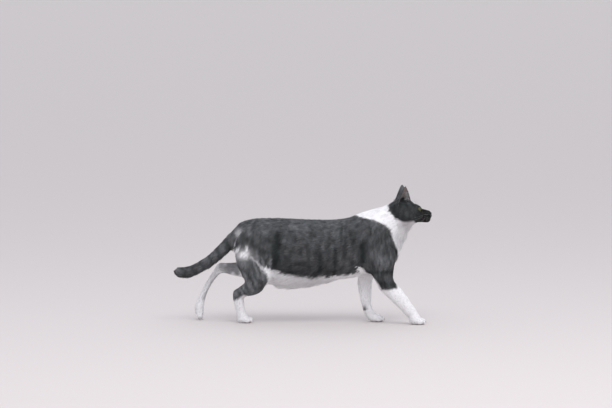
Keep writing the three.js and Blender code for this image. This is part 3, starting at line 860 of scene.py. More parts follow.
def white_thigh(x, z, right, belly, inner):
    """White of the hind legs: below the hock, on the inner side and in the groin."""
    hocks = (np.array(HOCKS[side], float)[:, None] for side in ("right", "left"))
    forward, up, rise = np.where(right, *hocks)
    below = across_line(rise * np.minimum(x - forward, 12) - (z - up))
    groin = belly * smoothstep(-2, 5, x - line_at(FLANK_FOLD, z)) * (z > GROIN_LOWEST)
    return np.maximum.reduce([below, inner * smoothstep(175, 150, z), groin])


def whiteness(p, normal, owner):
    """1 where the coat is white and 0 where it is grey."""
    x, z = seen_from_side(p)
    x = x + (2.5 * noise(p, 16, 11) + 1.2 * noise(p, 6, 12))
    z = z + 2.0 * noise(p, 14, 13) + 1.0 * noise(p, 5, 14)
    fringe = 4.5 * noise(p * (1, 1, 0.25), 5, 15)
    inner = smoothstep(0.1, 0.5, -np.sign(p[:, 1]) * normal[:, 1])
    belly = across_line(line_at(BELLY_LINE, x) - (z + fringe))
    front = across_line(x - line_at(COLLAR_LINE, z))
    head = across_line(z - line_at(JAW_LINE, x)) * smoothstep(*JAW_FROM, x)
    patch = seat_patch(x, z)
    under_tail = smoothstep(-152, -164, x) * smoothstep(212, 198, z)
    rump = begins(owner, "rump")
    white = np.maximum(belly * (x < TRUNK_UNTIL), front)
    white = np.where(x > HEAD_FROM, white * (1 - head), white)
    white = np.where(begins(owner, "foreleg"), white_arm(x, z, front, inner), white)
    thigh = np.maximum(white_thigh(x, z, p[:, 1] < 0, belly, inner), patch)
    white = np.where(begins(owner, "hindleg"), thigh, white)
    white = np.where(rump | begins(owner, "belly"), np.maximum.reduce([white, under_tail, patch]), white)
    tail_spot = np.maximum(spot("tail_root", x, z), spot("under_tail", x, z))
    white = np.where(rump | begins(owner, "tail"), np.maximum(white * rump, tail_spot), white)
    return np.clip(white, 0, 1)


def tabby(p, owner):
    """How dark the stripes are: upright on the sides, along the thighs, in rings on tail and legs."""
    x, z = seen_from_side(p)
    bend = 5 * noise(p * (1, 1, 0.5), 40, 21) + 2.5 * noise(p, 15, 22)
    sides = waves(x + bend - 0.12 * (z - 180), STRIPE_EVERY["side"])
    broken = smoothstep(-0.7, 0.5, noise(p * (0.7, 1, 1.5), 20, 23))
    found = 0.42 * smoothstep(0.35, 0.95, sides) * broken
    for place, width, low, high, strength in STRIPES:
        stripe = strength * np.exp(-(((x + bend - place) / width) ** 2))
        ends = smoothstep(low - 12, low + 8, z) * smoothstep(high + 15, high - 10, z)
        found = np.maximum(found, stripe * ends)
    rings = 0.55 * smoothstep(0.45, 0.9, waves(x + 0.4 * z + bend, STRIPE_EVERY["tail"]))
    found = np.where(begins(owner, "tail"), rings, found)
    along = waves(0.786 * x + 0.618 * z + 2.2 * bend, STRIPE_EVERY["thigh"])
    thigh = 0.62 * smoothstep(0.2, 0.85, along) * (0.5 + 0.5 * broken)
    found = np.where(begins(owner, "hindleg") & (z < 162), thigh, found)
    arm = 0.1
    for height, width, strength in ARM_BANDS:
        arm = arm + strength * np.exp(-(((z + 0.3 * bend - height) / width) ** 2))
    return np.where(begins(owner, "foreleg") & (z < 150), np.clip(arm, 0, 1), found)


def grey_fur(p, normal, owner):
    """Grey with dark stripes, lighter on the tail and thighs, with painted sheen on the back where it faces
    up and painted shade darkening the muzzle.
    """
    x, z = seen_from_side(p)
    q = to_head(p)
    mottle = 1 + 0.47 * noise(p * (1, 1, 0.35), 4.5, 31) + 0.38 * noise(p * (1, 1, 0.6), 9, 35)
    mottle = mottle + 0.16 * noise(p, 16, 32)
    on_head = begins(owner, "head")
    # Painted shade: the face darkens towards the muzzle.
    face = 0.62 + 0.35 * smoothstep(14, 40, q[:, 0])
    brow = waves(np.abs(q[:, 1]), STRIPE_EVERY["brow"])
    face = face + 0.25 * smoothstep(0.5, 1, brow) * smoothstep(8, 24, q[:, 2])
    dark = np.where(on_head, face, tabby(p, owner))
    grey = mix(GREY, DARK, np.clip(dark, 0, 1)) * np.clip(mottle, 0.35, 2)[:, None]
    # Painted shade: the muzzle darker still.
    grey = grey * (1 - 0.78 * on_head * smoothstep(18, 40, q[:, 0]))[:, None]
    # Painted sheen: the back is lighter where it faces up.
    back = 0.35 * smoothstep(0.1, 0.9, normal[:, 2]) * smoothstep(205, 228, z)
    tail = 0.5 * begins(owner, "tail") * smoothstep(-150, -180, x)
    thigh = 1.0 * begins(owner, "hindleg") * smoothstep(178, 160, z)
    # The tail, thighs and upper arm are lighter; the back's share is painted sheen.
    lighter = np.maximum.reduce([back, tail, thigh, spot("upper_arm", x, z)])
    return grey * (1 + lighter * ~on_head)[:, None]


def white_fur(p, normal):
    """Painted light: white fur is lighter where it faces the floor and darker where it faces up, for the
    light that passes through it. The hind legs are duller.
    """
    white = WHITE * (1 + 0.03 * noise(p, 7, 33) - 0.07 * normal[:, 2])[:, None]
    return white * (1 - 0.09 * smoothstep(-90, -125, seen_from_side(p)[0]))[:, None]


def coat_colour(p, normal, owner):
    """The colour of the coat at points on the skin."""
    x, z = seen_from_side(p)
    colour = mix(grey_fur(p, normal, owner), white_fur(p, normal), whiteness(p, normal, owner))
    wrist = spot("left_wrist", x, z) * (owner == "foreleg_left_forearm")
    colour = mix(colour, GREY, np.clip(wrist * (normal[:, 0] < 0.3), 0, 1))
    far_leg = np.isin(owner, FAR_LEG) * smoothstep(-0.9, 0.3, noise(p, 11, 34))
    far_leg = far_leg * smoothstep(-230, -190, x) * (normal[:, 1] < 0.3)
    colour = mix(colour, FAR_LEG_GREY, 0.8 * far_leg)
    # Painted shade: the far foot is greyer on its forward side.
    far_foot_painted_shade = (owner == "hindleg_left_foot") * smoothstep(-0.2, 0.7, normal[:, 0])
    colour = mix(colour, FAR_FOOT_PAINTED_SHADE, 0.55 * far_foot_painted_shade)
    return mix(colour, EAR_HAIR, 0.75 * inside_ear(folded(to_head(p)), owner))


def inside_ear(half, owner):
    _, share, off, _ = ear_places(half, 1)
    return begins(owner, "ear") * smoothstep(-0.2, 0.5, off) * smoothstep(1.0, 0.8, np.abs(share))


def painted_root_shade(colours):
    """Painted shade: how much darker the coat is at its roots, where the tufts shade each other; less so
    where it is white.
    """
    return 0.6 + 0.38 * smoothstep(0.15, 0.5, colours.mean(axis=1, keepdims=True))


def pad_share(p, owner):
    share = np.zeros(len(p))
    for limb in PAWS:
        q = to_paw(p, limb)
        nearest = np.min([ball(q, pad, radii) for pad, radii in PADS], axis=0)
        on_sole = smoothstep(-0.2, -0.9, nearest) * (q[:, 2] < 3.5)
        share = np.maximum(share, (owner == limb + "_paw") * on_sole)
    return share


def skin_colour(p, normal, owner):
    """Painted shade makes it darker than the coat; it is bare and pink inside the ears, and dark on the lips
    and lids.
    """
    colour = coat_colour(p, normal, owner)
    # Painted shade: the skin under the tufts is darker.
    colour = colour * painted_root_shade(colour)
    half = folded(to_head(p))
    colour = mix(colour, PINK, 0.45 * inside_ear(half, owner))
    rim = smoothstep(1.3, 0.2, np.abs(eye_opening(half))) * (half[:, 0] > 10)
    colour = mix(colour, DARK * 0.4, rim)
    lips = smoothstep(0.3, 1.2, mouth_depth(half)) * begins(owner, "head")
    return mix(mix(colour, DARK * 0.35, lips), PAD, pad_share(p, owner))


# ---------------------------------------------------------------- the lie of the coat

LIE = {
    "rump": (-1, 0, -0.30),
    "belly": (-1, 0, -0.22),
    "chest": (-0.85, 0, -0.45),
    "neck": (-0.75, 0, -0.62),
    "foreleg_right_upper": (-0.25, 0, -1),
    "foreleg_left_upper": (-0.45, 0, -1),
    "foreleg_right_forearm": (0.55, 0, -1),
    "foreleg_left_forearm": (0.05, 0, -1),
    "hindleg_right_thigh": (-0.55, 0, -1),
    "hindleg_left_thigh": (-0.65, 0, -1),
    "hindleg_right_shin": (-1, 0, -0.65),
    "hindleg_left_shin": (-1, 0, -0.25),
    "hindleg_right_foot": (0.0, 0, -1),
    "hindleg_left_foot": (-0.45, 0, -1),
    "foreleg_right_paw": (1, 0, -0.55),
    "foreleg_left_paw": (1, 0, -0.55),
    "hindleg_right_paw": (1, 0, -0.45),
    "hindleg_left_paw": (0.1, 0, -1),
    "tail_1": (-0.70, -0.05, -0.70),
    "tail_2": (-0.78, -0.10, -0.60),
    "tail_3": (-0.90, -0.05, -0.35),
    "tail_4": (-1.0, 0.05, 0.05),
}


FACE_PARTING = (66, 0, -4)  # the face's hairs lie away from here, in the head frame


def lie_of_coat(net, owner):
    """The way the coat lies at each point of the net, along the skin."""
    lie = np.zeros_like(net.points)
    for name, way in LIE.items():
        lie[owner == name] = unit(np.array(way, float))
    q = to_head(net.points)
    from_nose = q - np.array(FACE_PARTING)
    from_nose[:, 2] += 8 * smoothstep(30, 10, q[:, 0])
    lie = np.where((owner == "head")[:, None], unit(from_nose) @ HEAD_TURN.T, lie)
    for name, side in SIDES.items():
        lie[owner == "ear_" + name] = unit(ear_axes(side)[1]) @ HEAD_TURN.T
    normal = net.normals()
    for _ in range(12):
        lie = net.spread(lie, 1)
        lie = unit(lie - normal * dot(lie, normal)[:, None])
    return lie


# ---------------------------------------------------------------- the coat

PIECES = {
    "coat_rump_right": ("rump", -1),
    "coat_rump_left": ("rump", 1),
    "coat_flank_right": ("belly", -1),
    "coat_flank_left": ("belly", 1),
    "coat_chest_right": ("chest", -1),
    "coat_chest_left": ("chest", 1),
    "coat_neck": ("neck", 0),
    "coat_tail": ("tail", 0),
    "coat_foreleg_right": ("foreleg_right", 0),
    "coat_foreleg_left": ("foreleg_left", 0),
    "coat_hindleg_right": ("hindleg_right", 0),
    "coat_hindleg_left": ("hindleg_left", 0),
    "coat_head": ("head", 0),
    "coat_ears": ("ear", 0),
}
ROOT_DEPTH = 0.35  # of the tufts' roots under the skin
SHAG = {"length": 0.4, "lift": 12}  # what loose coat adds: a share of the length, and degrees
RUFF = {"length": 0.6, "lift": 17}
LIGHTEST = {"tuft": 0.84, "tip": 0.88}
MAP_SIDE = 4  # layouts side by side on the skin's map
PATCH = 0.003  # a tuft's size on the map
TUFT_PATCH = np.array([(-1, -1), (-1, -0.3), (-1, 0.4), (0.3, -1), (0.3, 0.2), (0.3, 1), (1, 0)])


def tuft_sites(net, chance):
    """Points spread over the net by their chance: the triangle of each, and its weights."""
    area = 0.5 * np.linalg.norm(net.face_normals(), axis=1)
    wanted = area * chance[net.triangles].mean(axis=1)
    total = np.cumsum(wanted)
    count = int(total[-1])
    picks = (np.arange(count) + rng.random(count)) * total[-1] / count
    triangle = np.minimum(np.searchsorted(total, picks), len(wanted) - 1)
    u, v = np.sqrt(rng.random(count)), rng.random(count)
    return triangle, np.stack([1 - u, u * (1 - v), u * v], axis=1)


def at_sites(net, values, triangle, weights):
    return np.einsum("tk,tk...->t...", weights, values[net.triangles[triangle]])


def spread_tufts(root, normal, lie, length, width, lift, skin_tree):
    """The seven points of each tuft: three round its root, three round its middle and the tip."""
    count = len(root)
    turn = rng.normal(0, 0.16, count) + 0.35 * noise(root, 13, 41)
    across = unit(np.cross(normal, lie))
    way = unit(lie * np.cos(turn)[:, None] + across * np.sin(turn)[:, None])
    across = unit(np.cross(normal, way))
    lift = np.radians(lift * (0.75 + 0.5 * rng.random(count) + 0.35 * noise(root, 7, 42)))
    up, ahead = np.sin(lift)[:, None], np.cos(lift)[:, None]
    size = length[:, None]
    middle = root + 0.5 * size * (way * ahead + normal * up)
    tip = middle + 0.5 * size * (way * np.sqrt(1 - (0.45 * up) ** 2) + normal * 0.45 * up)
    middle = laid(middle, normal, 0.5 * length * np.sin(lift), skin_tree)
    rise = 0.5 + 0.22 * smoothstep(0.15, 0.3, lift)
    tip = laid(tip, normal, rise * length * np.sin(lift), skin_tree)
    half = 0.5 * width[:, None]
    points = np.empty((count, TUFT_POINTS, 3))
    for start, place, wide in ((0, root - normal * ROOT_DEPTH, 0.75), (3, middle, 1.0)):
        points[:, start] = place - across * half * wide
        points[:, start + 1] = place + across * half * wide
        points[:, start + 2] = place + normal * half * wide * 0.7
    points[:, 6] = tip
    return points


def laid(points, normal, height, skin_tree):
    """Moves points to this height over the skin, so that long tufts follow its bends."""
    out = points.copy()
    for i, p in enumerate(points):
        place, way, *_ = skin_tree.find_nearest(Vector(p))
        if way.dot(Vector(normal[i])) > 0.2:
            out[i] = np.array(place + way * height[i])
    return out


TUFT_POINTS = 7
TUFT_SIDES = [(0, 3, 1), (1, 3, 4), (1, 4, 2), (2, 4, 5), (2, 5, 0), (0, 5, 3)]
TUFT_ENDS = [(3, 6, 4), (4, 6, 5), (5, 6, 3), (0, 1, 2)]
TUFT_FACES = np.array(TUFT_SIDES + TUFT_ENDS)[:, ::-1]
UNDER_FACES = [0, 1, 6, 9]  # those that face the skin


def corner_normals(points, normals):
    """The shading normals of the tufts' corners. Faces towards the skin keep their own."""
    across = unit(points[:, 1] - points[:, 0])
    lean = np.repeat(normals[:, None] * 1.5, TUFT_POINTS, axis=1)
    lean[:, [0, 3]] -= across[:, None] * 0.5
    lean[:, [1, 4]] += across[:, None] * 0.5
    lean = unit(lean)[:, TUFT_FACES]
    under = points[:, TUFT_FACES[UNDER_FACES]]
    under = np.cross(under[:, :, 1] - under[:, :, 0], under[:, :, 2] - under[:, :, 0])
    lean[:, UNDER_FACES] = unit(under + normals[:, None] * 1e-9)[:, :, None]
    return lean


def tuft_mesh(name, points, colours, tip_colours, normals, places, material):
    """One piece of coat. Each tuft's shading leans on the normal of the skin under it."""
    count = len(points)
    faces = repeated(TUFT_FACES, count, TUFT_POINTS)
    piece = mesh_object(name, points.reshape(-1, 3), faces, material)
    shade = np.empty((count, TUFT_POINTS, 3))
    # Painted shade at each tuft's root.
    shade[:, :3] = (colours * painted_root_shade(colours))[:, None]
    shade[:, 3:6] = colours[:, None]
    shade[:, 6] = tip_colours
    set_colours(piece, shade.reshape(-1, 3))
    set_bake_map(piece, places, TUFT_PATCH)
    piece.data.normals_split_custom_set(corner_normals(points, normals).reshape(-1, 3).tolist())
    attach(piece, "root")
    return piece


def pieces_of_faces(net, owner):
    """For each triangle, the number of the coat piece that grows on it."""
    names = owner[net.triangles[:, 0]]
    right = net.points[net.triangles].mean(axis=1)[:, 1] < 0
    number = np.zeros(len(names), int)
    for k, (start, side) in enumerate(PIECES.values()):
        on_side = right if side < 0 else ~right if side > 0 else True
        number[np.char.startswith(names, start) & on_side] = k
    return number


def flattened(net, some, material):
    """Places from 0 to 1 for the corners of some triangles, laid out flat so that none overlap."""
    used, corners = np.unique(net.triangles[some], return_inverse=True)
    piece = mesh_object("flat", net.points[used], corners.reshape(-1, 3), material)
    bpy.context.view_layer.objects.active = piece
    piece.select_set(True)
    bpy.ops.object.mode_set(mode="EDIT")
    bpy.ops.mesh.select_all(action="SELECT")
    bpy.ops.uv.smart_project(angle_limit=math.radians(66), island_margin=0.004)
    bpy.ops.object.mode_set(mode="OBJECT")
    places = rows_of(piece.data.uv_layers.active.uv, "vector", 2, np.float32)
    bpy.data.objects.remove(piece)
    return places.reshape(-1, 3, 2)


def unwrapped(net, piece_of_face, material):
    """Each coat piece's part of the skin laid out flat, every one on the whole square from 0 to 1."""
    flat = np.zeros((len(net.triangles), 3, 2))
    for number in range(len(PIECES)):
        some = np.flatnonzero(piece_of_face == number)
        flat[some] = flattened(net, some, material)
    return flat


def on_one_map(flat, piece_of_face):
    """The same layouts side by side on one map, for the skin itself."""
    column, row = piece_of_face % MAP_SIDE, piece_of_face // MAP_SIDE
    return (flat + np.stack([column, row], axis=1)[:, None]) / MAP_SIDE


def shag(net, owner):
    """How loose the coat hangs: under the belly, down the chest, behind the thighs and under the tail."""
    x, z = seen_from_side(net.points)
    ahead, _, up = net.normals().T
    belly = 1.5 * smoothstep(0.0, 0.7, -up) * begins(owner, "belly") * smoothstep(140, 60, x)
    chest = smoothstep(0.3, 0.8, ahead) * begins(owner, "chest", "neck") * smoothstep(246, 236, z)
    behind = begins(owner, "rump", "hindleg_right_thigh", "hindleg_left_thigh")
    seat = 0.6 * (smoothstep(0.3, 0.9, -ahead) * behind)
    tail = 0.6 * smoothstep(0.2, 0.9, -up) * begins(owner, "tail")
    return net.spread(np.maximum.reduce([belly, chest, seat, tail]), 10)


def ruff(net, owner):
    """How far the coat stands out down the throat, from behind the chin."""
    x, z = seen_from_side(net.points)
    ahead = smoothstep(0.35, 0.85, net.normals() @ (0.8, 0, -0.6))
    throat = smoothstep(214, 234, z) * smoothstep(264, 252, z) * smoothstep(287, 277, x)
    return net.spread(ahead * begins(owner, "chest", "neck", "head") * throat, 8)


def off_the_floor(points):
    """Presses what would go below the floor flat just above it."""
    out = points.copy()
    height = points[..., 2]
    out[..., 2] = np.where(height < 1, 0.15 + 0.85 * np.exp((height - 1) / 0.85), height)
    return out


def coat_chance(net, owner, spacing):
    """Tufts per square millimetre: none in the eyes, the mouth, the nose and on the pads."""
    q = to_head(net.points)
    half = folded(q)
    on_head = begins(owner, "head")
    bare = smoothstep(0.3, 1.6, eye_opening(half)) * smoothstep(1.3, 0.5, mouth_depth(half))
    nose = np.linalg.norm((q - NOSE_AT) / (7, 7.4, 6), axis=1)
    chance = np.where(on_head, bare * smoothstep(0.9, 1.1, nose), 1) / spacing
    chance = chance * (1 - 0.5 * inside_ear(half, owner))
    return chance * (1 - pad_share(net.points, owner))


def tuft_length(net, owner, length):
    """Shorter towards the nose and the lids, longer on the cheeks and where the coat hangs loose."""
    q = to_head(net.points)
    half = folded(q)
    face = 0.42 + 0.58 * smoothstep(52, 22, q[:, 0]) + 1.0 * smoothstep(16, -14, q[:, 0])
    face = face * (0.55 + 0.45 * smoothstep(11, 17, np.linalg.norm(half - EYE_AT, axis=1)))
    face = face + 0.5 * smoothstep(22, 32, half[:, 1]) * smoothstep(0, -16, q[:, 2])
    ear = 1 - 0.5 * smoothstep(0.6, 0.95, ear_places(half, 1)[0])
    length = length * np.where(begins(owner, "head"), face, np.where(begins(owner, "ear"), ear, 1))
    length = length * (1 + SHAG["length"] * shag(net, owner) + RUFF["length"] * ruff(net, owner))
    tail_tip = smoothstep(-292, -312, net.points[:, 0])
    return net.spread(length * (1 - 0.25 * tail_tip), 4)


def tuft_colours(tint):
    """The colours of tufts and of their tips: each tuft differs a little, and tips are lighter."""
    tint = tint * (1 + np.clip(rng.normal(0, 0.13, len(tint)), -0.4, 0.5))[:, None]
    bright = smoothstep(0.15, 0.5, tint.mean(axis=1))
    tip = np.clip(tint * (1.2 - 0.15 * bright)[:, None], 0, LIGHTEST["tip"])
    return np.clip(tint, 0.01, LIGHTEST["tuft"]), tip


def build_coat(net, owner, tree, piece_of_face, flat, material):
    """The tufts, in one piece for each part of the coat."""
    normal, lie = net.normals(), lie_of_coat(net, owner)
    share = 1.0
    chance = coat_chance(net, owner, values_by_region(net, owner, "area", 8)) * share
    length = tuft_length(net, owner, values_by_region(net, owner, "length", 20))
    width = values_by_region(net, owner, "width", 12) / math.sqrt(share)
    lift = values_by_region(net, owner, "lift", 12)
    lift = lift + SHAG["lift"] * shag(net, owner) + RUFF["lift"] * ruff(net, owner)
    triangle, weights = tuft_sites(net, chance)
    values = (net.points, normal, lie, length, width, lift)
    root, out, way, long, wide, raised = (at_sites(net, each, triangle, weights) for each in values)
    out, way = unit(out), unit(way)
    long = long * (0.72 + 0.56 * rng.random(len(long)))
    wide = wide * (0.75 + 0.5 * rng.random(len(wide)))
    points = off_the_floor(spread_tufts(root, out, way, long, wide, raised, tree))
    tint = coat_colour(0.45 * root + 0.55 * points[:, 6], out, owner[net.triangles[triangle, 0]])
    tint, tip = tuft_colours(tint)
    places = np.einsum("tk,tkx->tx", weights, flat[triangle])
    for number, name in enumerate(PIECES):
        some = piece_of_face[triangle] == number
        piece = tuft_mesh(name, points[some], tint[some], tip[some], out[some], places[some], material)


# ---------------------------------------------------------------- materials


def set_values(node, values):
    for socket, value in values.items():
        node.inputs[socket].default_value = value


def new_material(name, looks):
    """A material with these values on its shader's own sockets, and the shader."""
    material = bpy.data.materials.new(name)
    material.use_nodes = True
    shader = material.node_tree.nodes["Principled BSDF"]
    set_values(shader, looks)
    return material, shader


def grained_material(name, looks, texture, grain_values, bump, depth):
    """A material with bumps from a texture, with its shader, the mesh's colour and the texture."""
    material, shader = new_material(name, looks)
    nodes, links = material.node_tree.nodes, material.node_tree.links
    carried = nodes.new("ShaderNodeAttribute")
    carried.attribute_name = "coat"
    place = nodes.new("ShaderNodeTexCoord")
    grain = nodes.new(texture)
    set_values(grain, grain_values)
    links.new(place.outputs["Object"], grain.inputs["Vector"])
    raised = nodes.new("ShaderNodeBump")
    set_values(raised, {"Strength": bump, "Distance": depth})
    links.new(grain.outputs[0], raised.inputs["Height"])
    links.new(raised.outputs["Normal"], shader.inputs["Normal"])
    return material, shader, carried, grain


def fur_material(name, roughness, variation, bump):
    """The colour that the mesh carries, with fine streaks, a soft sheen and a little unevenness."""
    looks = {
        "Roughness": roughness,
        "Specular IOR Level": 0.15,
        "Sheen Weight": 0.06,
        "Sheen Roughness": 0.45,
    }
    values = {"Scale": 700, "Detail": 3}
    material, shader, carried, grain = grained_material(
        name, looks, "ShaderNodeTexNoise", values, bump, 0.0004
    )
    nodes, links = material.node_tree.nodes, material.node_tree.links
    spread = nodes.new("ShaderNodeMapRange")
    set_values(spread, {"From Min": 0.3, "From Max": 0.7})
    set_values(spread, {"To Min": 1 - variation, "To Max": 1 + variation})
    links.new(grain.outputs[0], spread.inputs["Value"])
    scaled = nodes.new("ShaderNodeVectorMath")
    scaled.operation = "SCALE"
    links.new(carried.outputs["Color"], scaled.inputs[0])
    links.new(spread.outputs["Result"], scaled.inputs["Scale"])
    links.new(scaled.outputs["Vector"], shader.inputs["Base Color"])
    return material


def glossy_material(name, roughness, wet, scale, bump):
    """The colour that the mesh carries, under a wet coat, over fine grain."""
    looks = {
        "Roughness": roughness,
        "Coat Weight": wet,
        "Coat Roughness": 0.04,
        "Specular IOR Level": 0.1,
    }
    material, shader, carried, _ = grained_material(
        name, looks, "ShaderNodeTexVoronoi", {"Scale": scale}, bump, 0.0002
    )
    material.node_tree.links.new(carried.outputs["Color"], shader.inputs["Base Color"])
    return material


# ---------------------------------------------------------------- eyes, nose leather, whiskers and hairs

# The iris is olive and amber, painted darker than its own colour for the shade over the eye.
IRIS = {
    "middle": np.array([0.062, 0.072, 0.024]),
    "rim": np.array([0.07, 0.058, 0.022]),
    "white": np.array([0.42, 0.33, 0.29]),
    "degrees": 52,
    "bulge": 1.1,
}
PUPIL = {"half_width": 1.9, "half_height": 6.8}


def ball_net(heights, around):
    """Angles from the pole and round it for the points of a ball, and its triangles."""
    inner = heights[1:-1]
    theta = np.concatenate([heights[:1], np.repeat(inner, around), heights[-1:]])
    phi = np.concatenate([[0], np.tile(np.arange(around) * 2 * math.pi / around, len(inner)), [0]])
    rings = 1 + np.arange(len(inner) * around).reshape(len(inner), around)
    beside = np.roll(rings, -1, axis=1)
    poles = np.zeros(around, int), np.full(around, len(theta) - 1)
    faces = [np.stack([poles[0], rings[0], beside[0]], 1), np.stack([rings[-1], poles[1], beside[-1]], 1)]
    for a, a_next, b, b_next in zip(rings[:-1], beside[:-1], rings[1:], beside[1:]):
        faces += [np.stack([a, b, b_next], 1), np.stack([a, b_next, a_next], 1)]
    return theta, phi, np.concatenate(faces)


def on_ball(theta, phi, looks, up):
    """The point of a ball of radius 1 for each pair of angles, with its pole where it looks."""
    across = np.cross(up, looks)
    around = np.cos(phi)[:, None] * across + np.sin(phi)[:, None] * up
    return np.cos(theta)[:, None] * looks + np.sin(theta)[:, None] * around


def add_eye(side_name, material):
    side = SIDES[side_name]
    looks = eye_axes(side)[0]
    up = unit(np.array([0, 0, 1.0]) - looks * looks[2])
    heights = np.radians(np.concatenate([np.arange(0, 60, 1.25), np.linspace(60, 180, 14)]))
    theta, phi, faces = ball_net(heights, 96)
    open_share = np.clip(np.degrees(theta) / IRIS["degrees"], 0, 1)
    radius = EYE["radius"] + IRIS["bulge"] * np.cos(open_share * math.pi / 2) ** 2
    points = EYE_AT * (1, side, 1) + radius[:, None] * on_ball(theta, phi, looks, up)
    piece = mesh_object("eyeball_" + side_name, from_head(points), faces, material)
    across, high = radius * np.sin(theta) * np.cos(phi), radius * np.sin(theta) * np.sin(phi)
    set_colours(piece, eye_colours(across, high, phi, open_share))
    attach(piece, "root")
    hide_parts("eye_" + side_name)


def eye_colours(across, high, phi, open_share):
    """A slit pupil, a ring of fibres round it, a dark edge and the white of the eye behind the lids."""
    spokes = np.stack([np.cos(phi) * 11, np.sin(phi) * 11, open_share * 2], axis=1)
    fibres = 1 + 0.28 * noise(spokes, 1.0, 51) + 0.15 * noise(spokes * 2.3, 1.0, 52)
    iris = mix(IRIS["middle"], IRIS["rim"], smoothstep(0.25, 0.8, open_share)) * fibres[:, None]
    iris = iris * (1 - 0.75 * smoothstep(0.82, 0.97, open_share))[:, None]
    bow = np.clip(1 - (high / PUPIL["half_height"]) ** 2, 0, 1)
    slit = smoothstep(0.22, -0.22, np.abs(across) - PUPIL["half_width"] * bow)
    colour = mix(iris, DARK * 0.08, slit)
    return mix(colour, IRIS["white"], smoothstep(0.985, 1.0, open_share))


NOSTRIL = [(3.9, 1.6, -1.9), (3.2, 3.5, -2.7), (0.8, 6.0, -1.3)]  # from the nose's middle


def nose_form(r):
    """The nose leather, with nostrils, from its own middle; r has Y measured outwards."""
    form = melt(ball(r, (0.2, 3.0, -0.7), (4.3, 3.5, 3.6)), ball(r, (0.8, 0, 0.9), (4.3, 4.7, 3.2)), 1.8)
    form = melt(form, thread(r, [(1.9, 0, -3), (1.2, 0, -6.6)], 1.2), 1.6)
    nostril = 2.0 * np.exp(-((thread(r, NOSTRIL, 0) / 0.85) ** 2))
    groove = 0.5 * np.exp(-((r[:, 1] / 0.5) ** 2)) * smoothstep(-0.5, -2, r[:, 2])
    return form + nostril + groove


def add_nose(material):
    theta, phi, faces = ball_net(np.linspace(0, math.pi, 44), 64)
    start = on_ball(theta, phi, np.array([1.0, 0, 0]), np.array([0, 0, 1.0])) * (4.6, 6.2, 5.0)
    points = pulled_onto(lambda r: nose_form(folded(r)), start, 0, 14, 0.6)
    placed = from_head(points * (0.74, 0.95, 0.85) + NOSE_AT - (1.0, 0, 0.9))
    piece = mesh_object("nose_leather", placed, faces, material)
    leather = NOSE_LEATHER * (1 + 0.15 * noise(points, 2.2, 53))[:, None]
    # Painted shade in the nostrils.
    dark = smoothstep(1.5, 0.5, thread(folded(points), NOSTRIL, 0))
    set_colours(piece, mix(leather, DARK * 0.1, dark))
    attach(piece, "root")
    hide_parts("nose")


# Hairs and claws: radius at the root, rings along each, and their shade or colour.
WHISKERS = {"radius": 0.16, "steps": 9, "shade": 0.38}
EAR_HAIRS = {"radius": 0.2, "steps": 6, "shade": 0.42, "count": 150}
CLAWS = {"radius": 1.0, "steps": 7, "length": 3.7, "colour": (0.34, 0.29, 0.26)}


def tube_faces(steps):
    """The triangles of a three-sided tube, closed at both ends."""
    here = np.arange(steps * 3).reshape(steps, 3)
    beside = np.roll(here, -1, axis=1)
    a, a_next, b, b_next = here[:-1], beside[:-1], here[1:], beside[1:]
    sides = np.concatenate([np.stack([a, a_next, b_next], -1), np.stack([a, b_next, b], -1)])
    return np.concatenate([sides.reshape(-1, 3), [here[0, ::-1]], [here[-1]]])


def add_hairs(name, hairs, look, colours, places, material):
    """Thin hairs in one piece: each a three-sided tube that bends, and narrows to its tip."""
    roots, ways, bends, lengths = hairs
    count, steps = len(roots), look["steps"]
    t = np.linspace(0, 1, steps)
    along = ways[:, None] * t[:, None] + bends[:, None] * t[:, None] ** 2
    path = roots[:, None] + lengths[:, None, None] * along
    across = unit(np.cross(ways, bends + [0, 0, 1e-3]))
    above = np.cross(ways, across)
    corner = np.arange(3) * 2 * math.pi / 3
    ring = across[:, None] * np.cos(corner)[:, None] + above[:, None] * np.sin(corner)[:, None]
    thick = look["radius"] * (1 - 0.93 * t)
    points = path[:, :, None] + ring[:, None] * thick[:, None, None]
    faces = repeated(tube_faces(steps), count, 3 * steps)
    piece = mesh_object(name, points.reshape(-1, 3), faces, material)
    set_colours(piece, np.repeat(colours, steps * 3, axis=0))
    patch = np.stack(np.broadcast_arrays((np.arange(3) - 1)[None], (2 * t - 1)[:, None]), axis=-1)
    set_bake_map(piece, places, patch.reshape(-1, 2))
    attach(piece, "root")


def nearest_on_skin(points, tree, flat):
    """The places nearest to these on the skin, and on its pieces' maps."""
    found = [tree.find_nearest(Vector(p)) for p in points]
    return np.array([place for place, *_ in found]), flat[[index for _, _, index, _ in found]].mean(axis=1)


def whiskers_of(side):
    """Root, way, bend and length of each whisker, in the head frame."""
    hairs = []
    for row, z in enumerate((-4.5, -8.2, -12, -15.2)):
        for column, x in enumerate((56, 51, 46, 41)[: 4 if row in (1, 2) else 3]):
            root = x - 1.5 * row, (19.5 + column) * side, z
            way = 0.25 - 0.28 * column, side, 0.2 - 0.17 * row
            hairs.append((root, way, (-0.30, 0, -0.12 - 0.03 * row), 28 + 11 * column))
    return hairs


def brow_hairs_of(side):
    hairs = []
    for k in range(5):
        root = 25 - 2.5 * k, (14 + 2 * k) * side, 24
        way = 0.55 - 0.12 * k, 0.35 * side, 0.8
        hairs.append((root, way, (-0.1, 0.15 * side, -0.12), 27 - 2.5 * k))
    return hairs


